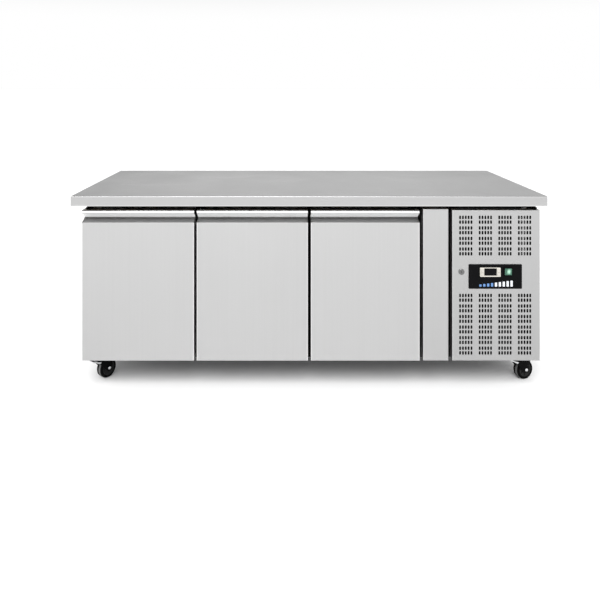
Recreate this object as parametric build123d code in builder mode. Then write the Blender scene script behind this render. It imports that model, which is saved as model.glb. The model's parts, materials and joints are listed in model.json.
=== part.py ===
from build123d import *
import math
import os

# A low, three-door refrigerated worktop on casters, in millimetres.
# +Z is up, the doors face -Y, and the origin is the centre of the footprint on the floor.
# Three insulated doors close the storage on the left. A blanking panel covers the
# evaporator, and a hinged, perforated panel on the right covers the machine room.

# ---- Overall ----
WIDTH = 1800
DEPTH = 700
HEIGHT = 750
WORKTOP_THICK = 38
WORKTOP_ARRIS = 1.8
WORKTOP_LIP = 25
SHEET = 1.0
FRONT = -DEPTH / 2
BACK = DEPTH / 2
UNDERSIDE = HEIGHT - WORKTOP_THICK

# ---- Cabinet body ----
BODY_LEFT = -864
BODY_RIGHT = 879
BODY_BACK = 340
BASE_BOTTOM = 106
BASE_THICK = 2
BASE_TOP = BASE_BOTTOM + BASE_THICK
FOAM = 53
MACHINE_LEFT = 545
FOAM_RIGHT = 505
FLOOR_TOP = BASE_TOP + FOAM + 2 * SHEET
CEILING = UNDERSIDE - FOAM - 2 * SHEET
INSIDE_LEFT = BODY_LEFT + FOAM + 2 * SHEET
INSIDE_BACK = BODY_BACK - FOAM - 2 * SHEET

# ---- Doors, seen from the front ----
DOOR_FRONT = FRONT + 20
DOOR_BOTTOM = 121
DOOR_TOP = 693
DOOR_EDGES = [(-864, -437), (-426.5, -3.5), (8, 421.5)]
DOOR_HINGED_LEFT = [True, True, False]
DOOR_BODY = 48
DOOR_BACK = DOOR_FRONT + DOOR_BODY
LINER_SHEET = 2
LINER_BACK = DOOR_BACK + LINER_SHEET
EDGE_RADIUS = 2

# ---- Finger groove along the top of each door ----
GROOVE_BOTTOM = 646
GROOVE_APEX = 660
GROOVE_TOP = 682
GROOVE_DEPTH = 38
LIP_CHAMFER = 5

# ---- Front frame, gaskets and hinges ----
FRAME_FRONT = LINER_BACK + 12
FRAME_THICK = 18
FRAME_BACK = FRAME_FRONT + FRAME_THICK
OPENING_BOTTOM = 168
OPENING_TOP = 650
OPENING_INSET = 36
GASKET_INSET = 20
GASKET_WIDTH = 14
GASKET_THICK = 11.7
GASKET_BEVEL = 2
PLINTH_CLEARANCE = 5
PLINTH_HEIGHT = 10
PLINTH_CORNER = 12
PLINTH_BEVEL = 3
MACHINE_FRAME_BAR = 20
PIN_INSET = 18
PIN_Y = DOOR_FRONT + PIN_INSET
PIN_RADIUS = 4
PIN_CLEARANCE = 0.05
BUSH_RADIUS = 7
BUSH_LENGTH = 15
BRACKET_HALF = 8
BRACKET_THICK = 3
BRACKET_GAP_TOP = 4
BRACKET_GAP_BOTTOM = 1
PIN_DEPTH = 13
KEEPER_HALF = 24
KEEPER_WEB = 2
KEEPER_REACH = 11
KEEPER_THICK = 3
KEEPER_GAP = 1

# ---- Blanking panel and machine-room panel ----
FILLER_EDGES = (435, 531)
FILLER_TOP = 697
PANEL_EDGES = (545.5, 879)
PANEL_DEPTH = 33
PANEL_PIN_INSET = 12
SIDE_FRONT = FRAME_FRONT - 22
VENT_WIDTH = 7.0
VENT_HEIGHT = 14.0
VENT_PITCH_X = 10.8
VENT_PITCH_Z = 17.9
VENT_BLOCK_X = [597, 671.5, 746, 820.5]
VENT_BLOCK_PITCH = 40.1
VENT_UPPER_FIRST = 657
VENT_LOWER_FIRST = 360
VENT_UPPER_COUNT = 4
VENT_LOWER_COUNT = 6

# ---- Controls on the machine-room panel ----
PLATE_X = (607.5, 810)
PLATE_Z = (395, 488)
PLATE_THICK = 2
CONTROL_CORNER = 3
STAT_CENTRE = (688.5, 459)
STAT_SIZE = (77.5, 34)
STAT_PROUD = 6
STAT_BODY = (71, 29)
STAT_DEPTH = 58
STAT_CORNER = 2
STAT_ROUND = 1.2
DISPLAY_SIZE = (48, 28)
DISPLAY_RISE = 1.5
DISPLAY_RECESS = 1
KEY_SIZE = (9.5, 10.5)
KEY_OFFSET_X = 31
KEY_OFFSET_Z = 6.6
KEY_GAP = 0.4
KEY_POCKET = 3
KEY_TRAVEL = 1.2
KEY_CORNER = 1.2
KEY_PROUD = 1
KEY_ROUND = 0.4
ROCKER_CENTRE = (757, 461)
ROCKER_WIDTH = 26
ROCKER_HALF = 13
ROCKER_TILT = 8
ROCKER_OUTLINE = [(-6, 13), (-4.2, 0), (-6, -13), (4, -11.5), (7, 0), (4, 11.5)]
ROCKER_CLEARANCE = (0.8, 2.6)
SWITCH_SIZE = (32, 33)
SWITCH_CORNER = 2
SWITCH_BODY = (30, 31)
SWITCH_PROUD = 4
SWITCH_DEPTH = 24
SWITCH_REAR_WALL = 4
ROCKER_PIN_RADIUS = 1.5
ROCKER_PIN_LENGTH = 28
LOCK_CENTRE = (580.5, 459)
LOCK_FLANGE_RADIUS = 11
LOCK_FLANGE = 3
LOCK_BODY_RADIUS = 9
LOCK_LENGTH = 30
LOCK_PLUG_RADIUS = 6
PLUG_PROUD = 0.8
KEY_SLOT = (1, 8, 4)
CAM_HALF = 8
CAM_REACH = 44
CAM_GAP = 2
CAM_THICK = 3

# ---- Casters ----
CASTER_X = (-822, 838)
CASTER_Y = (-219, 262)
CASTER_YAW = {"fl": -35, "fr": -68, "rl": 24, "rr": -8}
WHEEL_RADIUS = 37.5
WHEEL_WIDTH = 30
TYRE_THICK = 10
HUB_WALL = 3
CASTER_TRAIL = 24
CASTER_PLATE = (76, 95, 3)
CASTER_BOLTS = (60, 76)
BOLT_RADIUS = 4
BASE_HOLE_RADIUS = 4.1
PLATE_HOLE_RADIUS = 4.25
PLATE_CORNER = 5
BOLT_HEX_RADIUS = 7
BOLT_HEAD = 5
RACE_RADIUS = 27
RACE_HEIGHT = 8
RACE_BEVEL = 3
CROWN_RADIUS = 25
CROWN_Z = (84.5, 94.5)
AXLE_RADIUS = 4
AXLE_CLEARANCE = 0.05
KINGPIN_RADIUS = 5
KINGPIN_BOTTOM = 82
KINGPIN_HEAD = 3
KINGPIN_HEAD_RADIUS = 8
PEDAL_PIVOT = (-26, 76)
PEDAL_BEND = (-36, 83.5)
PEDAL_TIP = (-56, 92)
PEDAL_SHEET = 2
PEDAL_INNER = 20.2
PEDAL_PIN_RADIUS = 2
CHEEK_OUTLINE = [
    (-17, 77.5), (-17, 73.5), (-24, 71.5), (-36, 79), (-56, 88), PEDAL_TIP, PEDAL_BEND, (-26, 80)
]
FORK_GAP = 2
FORK_SHEET = 2.5
FORK_FRONT_PLAIN = [(-24, 88), (-20, 70)]
FORK_FRONT_BRAKED = [(-24, 88), (-33, 80), (-30, 71), (-20, 68)]
FORK_FOOT_AND_BACK = [(12, 33.5), (24, 25.5), (34, 31.5), (39, 57.5), (50, 82), (30, 88)]
TYRE_ROUND = 6
HUB_INSET = 2
HUB_RECESS = 6
HUB_BOSS_RADIUS = 10

# ---- Machine room ----
FAN_CENTRE = (712, -128, 300)
FAN_RADIUS = 80
FAN_BAR_Y = (-104, -100)
FAN_BAR_HALF = 9
FAN_HUB_RADIUS = 24
FAN_BLADE_DEPTH = 20
FAN_SHAFT_DEPTH = 10
FAN_MOTOR = (38, 48)
FAN_MOTOR_ROUND = 8
RING_CLEARANCE = 5
RING_WALL = 2
RING_DEPTH = 50
ARM_GAP = 3
ARM_WIDTH = 10
SHROUD_SHEET = 2
SHROUD_LOW = 60
COIL_X = (590, 846)
COIL_Y = (-232, -182)
COIL_TOP = 688
COIL_FINS_Z = (170, 676)
COIL_FINS = 44
FIN_GAP_SHARE = 0.66
FIN_DEPTH = 30
COMPRESSOR_CENTRE = (705, 110)
COMPRESSOR_RADIUS = 78
COMPRESSOR_HEIGHT = 168
FOOT_HEIGHT = 16
FOOT_RADIUS = 12
FOOT_PLACES = (85, 60)
SHELL_GAP = 3
SHELL_SHOULDER = 30
SHELL_EAVES = 110
SHELL_FLAT = 55
MOUNT_TOP = 2
TERMINAL_HALF = 30
TERMINAL_REACH = 20
TERMINAL_ROOT = 60
TERMINAL_LOW = 50
BASE_PLATE_X = (556, 866)
BASE_PLATE_Y = (-240, 320)
BASE_PLATE_TOP = BASE_TOP + 2
PIPE_HOLE = (240, 210)
PIPE_HOLE_RADIUS = 7
HOT_PIPE_X = 862
HOT_PIPE_Z = 240
HOT_PIPE_RADIUS = 3
HOT_BEND = 12
SUCTION_RADIUS = 5
SUCTION_BEND = 22
SUCTION_RUN = 37
PIPE_GAP = 0.1
PIPE_END_GAP = 4.5
DRIER_PLACE = (580, -60, 150)
DRIER_RADIUS = 11
DRIER_ROUND = 6
DRIER_LENGTH = 90
DRIER_PIPE_LENGTH = 170
GRILLE_CENTRE = (712, 420)
GRILLE_SLOT = (38, 7)
GRILLE_PITCH = (52, 22)
GRILLE_COUNT = (5, 20)
GLAND_PLACE = (820, 165)
GLAND_RADIUS = 9
GLAND_BORE = 4.2
GLAND_LENGTH = 30
GLAND_NUT = (12.5, 6)
GLAND_Y = BODY_BACK - 5

# ---- Evaporator ----
COVER_X = 405
COVER_THICK = 1.2
COVER_RINGS = (20, 35, 50, 65)
COVER_RING_GAP = 12
COVER_SPOKE = 5
COVER_SLOT = (70, 8)
COVER_SLOT_PITCH = 24
COVER_SLOTS = 16
COLD_COIL_X = (462, 500)
COLD_COIL_Y = (-190, 230)
COLD_COIL_Z = (230, 600)
COLD_COIL_FINS = 42
COLD_FIN_DEPTH = 24
COLD_FIN_THICK = 2
EVAPORATOR_FAN = (418, 20, 520)
EVAPORATOR_FAN_RADIUS = 75
EVAPORATOR_HUB_RADIUS = 18
EVAPORATOR_BLADE_DEPTH = 12
EVAPORATOR_MOTOR_X = 430
EVAPORATOR_MOTOR = (26, 24)
EVAPORATOR_ARM_X = (450, 453)
EVAPORATOR_ARM = 110
ARM_HALF = 9
FOOT_WIDTH = 10

# ---- Fan wheels ----
SHAFT_RADIUS = 4
SHAFT_IN_MOTOR = 8
BLADES = 5
BLADE_PITCH = 28
BLADE_THICK = 1.6
BLADE_CHORD_SHARE = 0.6
BLADE_ROOT = 2


def slab(x_span, y_span, z_span, mode=Mode.ADD):
    """A box between two corners, in the builder that is open."""
    spans = (x_span, y_span, z_span)
    with Locations(tuple(sum(span) / 2 for span in spans)):
        Box(*[high - low for low, high in spans], mode=mode)


def rod(centre, radius, length, turn=(0, 0, 0), mode=Mode.ADD):
    """A cylinder about a point, in the builder that is open. It stands along Z unless turned."""
    with Locations(centre):
        Cylinder(radius, length, rotation=turn, mode=mode)


ALONG_X = (0, 90, 0)
ALONG_Y = (90, 0, 0)
os.makedirs("parts", exist_ok=True)


def write(name, *pieces):
    """Labels a node and writes its STEP file. Several pieces stay separate solids."""
    solids = [solid for piece in pieces for solid in piece.solids()]
    node = solids[0] if len(solids) == 1 else Compound(children=solids)
    node.label = name
    export_step(node, f"parts/{name}.step")


def slab_part(x_span, y_span, z_span):
    """A box as a part of its own."""
    with BuildPart() as part:
        slab(x_span, y_span, z_span)
    return part.part


# ------------------------------------------------------------------ worktop
def make_worktop():
    """A steel tray, turned down and under all round, over a board that fills it."""
    lip = WORKTOP_LIP
    inner = UNDERSIDE + SHEET, HEIGHT - SHEET
    inner_x = -WIDTH / 2 + SHEET, WIDTH / 2 - SHEET
    inner_y = FRONT + SHEET, BACK - SHEET
    with BuildPart() as worktop_skin:
        slab((-WIDTH / 2, WIDTH / 2), (FRONT, BACK), (UNDERSIDE, HEIGHT))
        fillet(worktop_skin.edges().filter_by(Axis.Z), radius=EDGE_RADIUS)
        fillet(worktop_skin.faces().sort_by(Axis.Z)[-1].edges(), radius=WORKTOP_ARRIS)
        slab(inner_x, inner_y, inner, mode=Mode.SUBTRACT)
        slab(
            (-WIDTH / 2 + lip, WIDTH / 2 - lip),
            (FRONT + lip, BACK - lip),
            (UNDERSIDE, inner[0]),
            mode=Mode.SUBTRACT,
        )
    write("worktop_skin", worktop_skin.part)
    write("worktop_core", slab_part(inner_x, inner_y, inner))


# ------------------------------------------------------------------ insulated body
def opening_x(index):
    """The clear width behind a door, as a pair of X values."""
    left, right = DOOR_EDGES[index]
    return max(left + OPENING_INSET, INSIDE_LEFT), right - OPENING_INSET


def caster_corners():
    """The name, place and yaw of each caster."""
    for row, y in zip("fr", CASTER_Y):
        for side, x in zip("lr", CASTER_X):
            yield row + side, (x, y), CASTER_YAW[row + side]


def make_shell():
    """Outer sheets: two sides, back and base, with the caster bolts' holes in the base."""
    walls = (BASE_BOTTOM, UNDERSIDE)
    write(
        "left_side_panel",
        slab_part((BODY_LEFT, BODY_LEFT + SHEET), (FRAME_FRONT, BODY_BACK), walls),
    )
    write(
        "right_side_panel",
        slab_part((BODY_RIGHT - SHEET, BODY_RIGHT), (SIDE_FRONT, BODY_BACK), walls),
    )
    write(
        "back_panel",
        slab_part(
            (BODY_LEFT + SHEET, MACHINE_LEFT), (BODY_BACK - SHEET, BODY_BACK), walls
        ),
    )
    with BuildPart() as base_pan:
        slab(
            (BODY_LEFT + SHEET, BODY_RIGHT - SHEET),
            (FRAME_FRONT, BODY_BACK - SHEET),
            (BASE_BOTTOM, BASE_TOP),
        )
        for _, (x, y), _ in caster_corners():
            with Locations((x, y, (BASE_BOTTOM + BASE_TOP) / 2)):
                with GridLocations(*CASTER_BOLTS, 2, 2):
                    Cylinder(BASE_HOLE_RADIUS, BASE_THICK, mode=Mode.SUBTRACT)
    write("base_pan", base_pan.part)


def make_insulation():
    """Foam slabs round the cold store, and the thin liner that faces them."""
    outside_left = BODY_LEFT + SHEET
    outside_back = BODY_BACK - SHEET
    foam_left = outside_left + FOAM
    foam_back = outside_back - FOAM
    foam_floor = BASE_TOP + FOAM
    foam_ceiling = UNDERSIDE - FOAM
    deep = (FRAME_BACK, outside_back)
    tall = (foam_floor, foam_ceiling)
    with BuildPart() as partition:
        slab((FOAM_RIGHT, MACHINE_LEFT), deep, tall)
        middle = (FOAM_RIGHT + MACHINE_LEFT) / 2
        through = 2 * (MACHINE_LEFT - FOAM_RIGHT)
        rod((middle, *PIPE_HOLE), PIPE_HOLE_RADIUS, through, ALONG_X, Mode.SUBTRACT)
    write(
        "insulation",
        slab_part((outside_left, MACHINE_LEFT), deep, (BASE_TOP, foam_floor)),
        slab_part((outside_left, MACHINE_LEFT), deep, (foam_ceiling, UNDERSIDE)),
        slab_part((outside_left, foam_left), deep, tall),
        slab_part((foam_left, FOAM_RIGHT), (foam_back, outside_back), tall),
        partition.part,
    )
    with BuildPart() as inner_liner:
        slab((foam_left, FOAM_RIGHT), (FRAME_BACK, foam_back), tall)
        slab(
            (foam_left + SHEET, FOAM_RIGHT - SHEET),
            (FRAME_BACK, foam_back - SHEET),
            (foam_floor + SHEET, foam_ceiling - SHEET),
            mode=Mode.SUBTRACT,
        )
        wall = FOAM_RIGHT - SHEET / 2
        rod((wall, *PIPE_HOLE), PIPE_HOLE_RADIUS, 4 * SHEET, ALONG_X, Mode.SUBTRACT)
    write("inner_liner", inner_liner.part)


def make_front_frames():
    """The dark frame that the gaskets close on, and the machine room's own frame."""
    depth = (FRAME_FRONT, FRAME_BACK)
    openings = [opening_x(index) for index in range(len(DOOR_EDGES))]
    posts = [(BODY_LEFT + SHEET, openings[0][0])]
    posts += [(a[1], b[0]) for a, b in zip(openings, openings[1:])]
    posts += [(openings[-1][1], MACHINE_LEFT)]
    rail_x = (posts[0][1], posts[-1][0])
    bars = [
        slab_part(rail_x, depth, (BASE_TOP, OPENING_BOTTOM)),
        slab_part(rail_x, depth, (OPENING_TOP, UNDERSIDE)),
    ]
    for index, post in enumerate(posts):
        is_end = index in (0, len(posts) - 1)
        tall = (BASE_TOP, UNDERSIDE) if is_end else (OPENING_BOTTOM, OPENING_TOP)
        bars.append(slab_part(post, depth, tall))
    write("front_frame", *bars)

    bar = MACHINE_FRAME_BAR
    right = BODY_RIGHT - SHEET
    write(
        "machine_frame",
        slab_part((MACHINE_LEFT, MACHINE_LEFT + bar), depth, (BASE_TOP, UNDERSIDE)),
        slab_part((right - bar, right), depth, (BASE_TOP, UNDERSIDE)),
        slab_part((MACHINE_LEFT + bar, right - bar), depth, (BASE_TOP, BASE_TOP + bar)),
        slab_part((MACHINE_LEFT + bar, right - bar), depth, (UNDERSIDE - bar, UNDERSIDE)),
    )


def sheet_box(x_span, y_span, z_span):
    """A sheet-metal cover, open at the back, with rounded front edges."""
    with BuildPart() as cover:
        slab(x_span, y_span, z_span)
        front = cover.faces().sort_by(Axis.Y)[0]
        fillet(front.edges(), radius=EDGE_RADIUS)
        slab(
            (x_span[0] + SHEET, x_span[1] - SHEET),
            (y_span[0] + SHEET, y_span[1]),
            (z_span[0] + SHEET, z_span[1] - SHEET),
            mode=Mode.SUBTRACT,
        )
    return cover.part


def make_filler():
    """The blank panel between the doors and the machine room."""
    filler_panel = sheet_box(FILLER_EDGES, (DOOR_FRONT, FRAME_FRONT), (DOOR_BOTTOM, FILLER_TOP))
    write("filler_panel", filler_panel)


# ------------------------------------------------------------------ hinges
def hinge_bracket(pin_x, plate_low, leg_span, pin_span):
    """An angle bracket on the frame with a fixed pin that enters the door."""
    x_span = (pin_x - BRACKET_HALF, pin_x + BRACKET_HALF)
    with BuildPart() as bracket:
        slab(x_span, (PIN_Y, FRAME_FRONT), (plate_low, plate_low + BRACKET_THICK))
        rod((pin_x, PIN_Y, plate_low + BRACKET_THICK / 2), BRACKET_HALF, BRACKET_THICK)
        slab(x_span, (FRAME_FRONT - BRACKET_THICK, FRAME_FRONT), leg_span)
        rod((pin_x, PIN_Y, sum(pin_span) / 2), PIN_RADIUS, pin_span[1] - pin_span[0])
    return bracket.part


def pin_positions():
    """The X of every vertical hinge axis: the doors', then the machine-room panel's."""
    for (left, right), hinged_left in zip(DOOR_EDGES, DOOR_HINGED_LEFT):
        yield left + PIN_INSET if hinged_left else right - PIN_INSET
    yield PANEL_EDGES[1] - PANEL_PIN_INSET


def make_hinge_brackets():
    """A top and a bottom bracket for each hinge, and the keeper that the lock's cam catches."""
    top_plate = DOOR_TOP + BRACKET_GAP_TOP
    bottom_plate = DOOR_BOTTOM - BRACKET_GAP_BOTTOM - BRACKET_THICK
    pin_low, pin_high = DOOR_TOP - PIN_DEPTH, DOOR_BOTTOM + PIN_DEPTH
    top_leg = (top_plate, UNDERSIDE - 2 * SHEET)
    brackets = []
    for pin_x in pin_positions():
        brackets.append(hinge_bracket(pin_x, top_plate, top_leg, (pin_low, top_plate)))
        bottom_pin = (bottom_plate + BRACKET_THICK, pin_high)
        brackets.append(hinge_bracket(pin_x, bottom_plate, (bottom_plate, pin_high), bottom_pin))
    left = FILLER_EDGES[1]
    keeper_z = (LOCK_CENTRE[1] - KEEPER_HALF, LOCK_CENTRE[1] + KEEPER_HALF)
    keeper_back = DOOR_FRONT + PANEL_DEPTH + KEEPER_GAP
    keeper_front = keeper_back - KEEPER_THICK
    with BuildPart() as keeper:
        slab((left, left + KEEPER_WEB), (keeper_front, FRAME_FRONT), keeper_z)
        slab((left, left + KEEPER_REACH), (keeper_front, keeper_back), keeper_z)
    write("hinge_brackets", *brackets, keeper.part)


# ------------------------------------------------------------------ doors
def door_outline(back):
    """A door's side view as (y, z) points, with the finger groove under its lip."""
    return [
        (DOOR_FRONT, DOOR_BOTTOM),
        (DOOR_FRONT, GROOVE_BOTTOM),
        (DOOR_FRONT + GROOVE_DEPTH, GROOVE_APEX),
        (DOOR_FRONT, GROOVE_TOP),
        (DOOR_FRONT, DOOR_TOP - LIP_CHAMFER),
        (DOOR_FRONT + LIP_CHAMFER, DOOR_TOP),
        (back, DOOR_TOP),
        (back, DOOR_BOTTOM),
    ]


def bush_places(pin_x):
    """The centre of the top and of the bottom hinge bush."""
    yield pin_x, PIN_Y, DOOR_TOP - BUSH_LENGTH / 2
    yield pin_x, PIN_Y, DOOR_BOTTOM + BUSH_LENGTH / 2


def door_skin(left, right, pin_x):
    """The folded outer sheet, open at the back."""
    with BuildPart() as skin:
        with BuildSketch(Plane.YZ.offset(left)):
            with BuildLine():
                Polyline(*door_outline(DOOR_BACK), close=True)
            make_face()
        extrude(amount=right - left)
        uprights = skin.edges().filter_by(Axis.Z)
        fillet(uprights.group_by(Axis.Y)[0], radius=EDGE_RADIUS)
        with BuildSketch(Plane.YZ.offset(left + SHEET)):
            with BuildLine():
                Polyline(*door_outline(DOOR_BACK + SHEET), close=True)
            make_face()
            offset(amount=-SHEET, kind=Kind.INTERSECTION)
        extrude(amount=right - left - 2 * SHEET, mode=Mode.SUBTRACT)
        for place in bush_places(pin_x):
            rod(place, BUSH_RADIUS, BUSH_LENGTH, mode=Mode.SUBTRACT)
    return skin.part


def plinth_spans(index, inset=0):
    """The raised middle of a door's liner, which stands just inside the frame's opening."""
    left, right = opening_x(index)
    gap = PLINTH_CLEARANCE + inset
    return (
        (left + gap, right - gap),
        (OPENING_BOTTOM + gap, OPENING_TOP - gap),
    )


def door_foam(index, left, right, pin_x):
    """The foam that fills the skin and the liner's raised middle."""
    with BuildPart() as foam:
        with BuildSketch(Plane.YZ.offset(left + SHEET)):
            with BuildLine():
                Polyline(*door_outline(DOOR_BACK + SHEET), close=True)
            make_face()
            offset(amount=-SHEET, kind=Kind.INTERSECTION)
        extrude(amount=right - left - 2 * SHEET)
        x_span, z_span = plinth_spans(index, LINER_SHEET)
        slab(x_span, (DOOR_BACK, LINER_BACK + PLINTH_HEIGHT - LINER_SHEET), z_span)
        for place in bush_places(pin_x):
            rod(place, BUSH_RADIUS, BUSH_LENGTH, mode=Mode.SUBTRACT)
    return foam.part


def hinge_bush(place):
    """A nylon bush that turns on a bracket's pin."""
    with BuildPart() as bush:
        rod(place, BUSH_RADIUS, BUSH_LENGTH)
        rod(place, PIN_RADIUS + PIN_CLEARANCE, BUSH_LENGTH, mode=Mode.SUBTRACT)
    return bush.part


def door_liner(index, left, right):
    """The moulded inner face: a flat border and a raised, hollow middle."""
    x_span, z_span = plinth_spans(index)
    inner_x, inner_z = plinth_spans(index, LINER_SHEET)
    with BuildPart() as liner:
        slab(x_span, (DOOR_BACK, LINER_BACK + PLINTH_HEIGHT), z_span)
        fillet(liner.edges().filter_by(Axis.Y), radius=PLINTH_CORNER)
        chamfer(liner.faces().sort_by(Axis.Y)[-1].edges(), length=PLINTH_BEVEL)
        slab((left, right), (DOOR_BACK, LINER_BACK), (DOOR_BOTTOM, DOOR_TOP))
        slab(
            inner_x,
            (DOOR_BACK, LINER_BACK + PLINTH_HEIGHT - LINER_SHEET),
            inner_z,
            mode=Mode.SUBTRACT,
        )
    return liner.part


def door_gasket(left, right):
    """The magnetic seal: a soft ring with a raised outer bead."""
    outer = GASKET_INSET
    inner = GASKET_INSET + GASKET_WIDTH
    deep = (LINER_BACK, LINER_BACK + GASKET_THICK)
    with BuildPart() as gasket:
        slab((left + outer, right - outer), deep, (DOOR_BOTTOM + outer, DOOR_TOP - outer))
        chamfer(gasket.faces().sort_by(Axis.Y)[-1].edges(), length=GASKET_BEVEL)
        slab(
            (left + inner, right - inner),
            deep,
            (DOOR_BOTTOM + inner, DOOR_TOP - inner),
            mode=Mode.SUBTRACT,
        )
    return gasket.part


def make_doors():
    """Each door: skin, foam, liner with its hinge bushes, and gasket."""
    for index, ((left, right), pin_x) in enumerate(zip(DOOR_EDGES, pin_positions())):
        door = f"door_{index + 1}"
        write(f"{door}_skin", door_skin(left, right, pin_x))
        write(f"{door}_foam", door_foam(index, left, right, pin_x))
        bushes = [hinge_bush(place) for place in bush_places(pin_x)]
        write(f"{door}_liner", door_liner(index, left, right), *bushes)
        write(f"{door}_gasket", door_gasket(left, right))


# ------------------------------------------------------------------ machine-room panel
def vent_places():
    """The centre of every vent slot, in blocks five slots wide and two high."""
    blocks = [VENT_UPPER_FIRST - n * VENT_BLOCK_PITCH for n in range(VENT_UPPER_COUNT)]
    blocks += [VENT_LOWER_FIRST - n * VENT_BLOCK_PITCH for n in range(VENT_LOWER_COUNT)]
    for block_x in VENT_BLOCK_X:
        for block_z in blocks:
            for column in range(-2, 3):
                for row in (-0.5, 0.5):
                    yield block_x + column * VENT_PITCH_X, block_z + row * VENT_PITCH_Z


def front_plane(y=DOOR_FRONT):
    """A plane on the panel's face: local x is X, local y is Z, and it faces the user."""
    return Plane(origin=(0, y, 0), x_dir=(1, 0, 0), z_dir=(0, -1, 0))


def make_service_panel():
    """A perforated tray on two pins, with holes for the lock, the thermostat and the switch."""
    y_span = (DOOR_FRONT, DOOR_FRONT + PANEL_DEPTH)
    pin_x = PANEL_EDGES[1] - PANEL_PIN_INSET
    with BuildPart() as service_panel:
        add(sheet_box(PANEL_EDGES, y_span, (DOOR_BOTTOM, DOOR_TOP)))
        with BuildSketch(front_plane()):
            with Locations(*vent_places()):
                SlotOverall(VENT_HEIGHT, VENT_WIDTH, rotation=90)
            with Locations(STAT_CENTRE):
                Rectangle(*STAT_BODY)
            with Locations(ROCKER_CENTRE):
                Rectangle(*SWITCH_BODY)
            with Locations(LOCK_CENTRE):
                Circle(LOCK_BODY_RADIUS)
        extrude(amount=-2 * SHEET, mode=Mode.SUBTRACT)
        for place in bush_places(pin_x):
            rod(place, BUSH_RADIUS, BUSH_LENGTH)
            rod(place, PIN_RADIUS + PIN_CLEARANCE, BUSH_LENGTH, mode=Mode.SUBTRACT)
    write("service_panel", service_panel.part)


def key_places():
    """The four keys, two each side of the display."""
    for side_name, side in (("left", -1), ("right", 1)):
        for row_name, row in (("upper", 1), ("lower", -1)):
            x = STAT_CENTRE[0] + side * KEY_OFFSET_X
            yield f"key_{side_name}_{row_name}", (x, STAT_CENTRE[1] + row * KEY_OFFSET_Z)


def make_controls():
    """The dark control plate with its switch housing, and the thermostat with its four keys."""
    plate_front = DOOR_FRONT - PLATE_THICK
    with BuildPart() as control_plate:
        slab(PLATE_X, (plate_front, DOOR_FRONT), PLATE_Z)
        fillet(control_plate.edges().filter_by(Axis.Y), radius=CONTROL_CORNER)
        with BuildSketch(front_plane(plate_front)):
            with Locations(STAT_CENTRE):
                Rectangle(*STAT_BODY)
            with Locations(ROCKER_CENTRE):
                Rectangle(*SWITCH_BODY)
        extrude(amount=-PLATE_THICK, mode=Mode.SUBTRACT)
    switch_front = plate_front - SWITCH_PROUD
    switch_back = DOOR_FRONT + SWITCH_DEPTH
    cavity = (ROCKER_WIDTH + ROCKER_CLEARANCE[0], 2 * ROCKER_HALF + ROCKER_CLEARANCE[1])
    with BuildPart() as switch_housing:
        with BuildSketch(front_plane(plate_front)):
            with Locations(ROCKER_CENTRE):
                RectangleRounded(*SWITCH_SIZE, SWITCH_CORNER)
        extrude(amount=SWITCH_PROUD)
        with BuildSketch(front_plane(plate_front)):
            with Locations(ROCKER_CENTRE):
                Rectangle(*SWITCH_BODY)
        extrude(amount=plate_front - switch_back)
        with BuildSketch(front_plane(switch_front)):
            with Locations(ROCKER_CENTRE):
                Rectangle(*cavity)
        extrude(amount=switch_front - switch_back + SWITCH_REAR_WALL, mode=Mode.SUBTRACT)
        pivot = (ROCKER_CENTRE[0], rocker_pivot_y(), ROCKER_CENTRE[1])
        socket = ROCKER_PIN_LENGTH + 8 * PIN_CLEARANCE
        rod(pivot, ROCKER_PIN_RADIUS + PIN_CLEARANCE, socket, ALONG_X, Mode.SUBTRACT)
    write("control_plate", control_plate.part, switch_housing.part)

    stat_front = plate_front - STAT_PROUD
    with BuildPart() as thermostat:
        with BuildSketch(front_plane(plate_front)):
            with Locations(STAT_CENTRE):
                RectangleRounded(*STAT_SIZE, STAT_CORNER)
        extrude(amount=STAT_PROUD)
        fillet(thermostat.faces().sort_by(Axis.Y)[0].edges(), radius=STAT_ROUND)
        with BuildSketch(front_plane(plate_front)):
            with Locations(STAT_CENTRE):
                Rectangle(*STAT_BODY)
        extrude(amount=-STAT_DEPTH)
        with BuildSketch(front_plane(stat_front)):
            with Locations((STAT_CENTRE[0], STAT_CENTRE[1] + DISPLAY_RISE)):
                Rectangle(*DISPLAY_SIZE)
        extrude(amount=-DISPLAY_RECESS, mode=Mode.SUBTRACT)
        with BuildSketch(front_plane(stat_front)):
            with Locations(*[place for _, place in key_places()]):
                Rectangle(KEY_SIZE[0] + 2 * KEY_GAP, KEY_SIZE[1] + 2 * KEY_GAP)
        extrude(amount=-KEY_POCKET, mode=Mode.SUBTRACT)
    write("thermostat", thermostat.part)

    for name, place in key_places():
        with BuildPart() as key:
            with BuildSketch(front_plane(stat_front + KEY_POCKET - KEY_TRAVEL)):
                with Locations(place):
                    RectangleRounded(*KEY_SIZE, KEY_CORNER)
            extrude(amount=KEY_POCKET - KEY_TRAVEL + KEY_PROUD)
            fillet(key.faces().sort_by(Axis.Y)[0].edges(), radius=KEY_ROUND)
        write(name, key.part)


def rocker_pivot_y():
    """The rocker turns about an axis just inside the housing."""
    return DOOR_FRONT - PLATE_THICK


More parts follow.
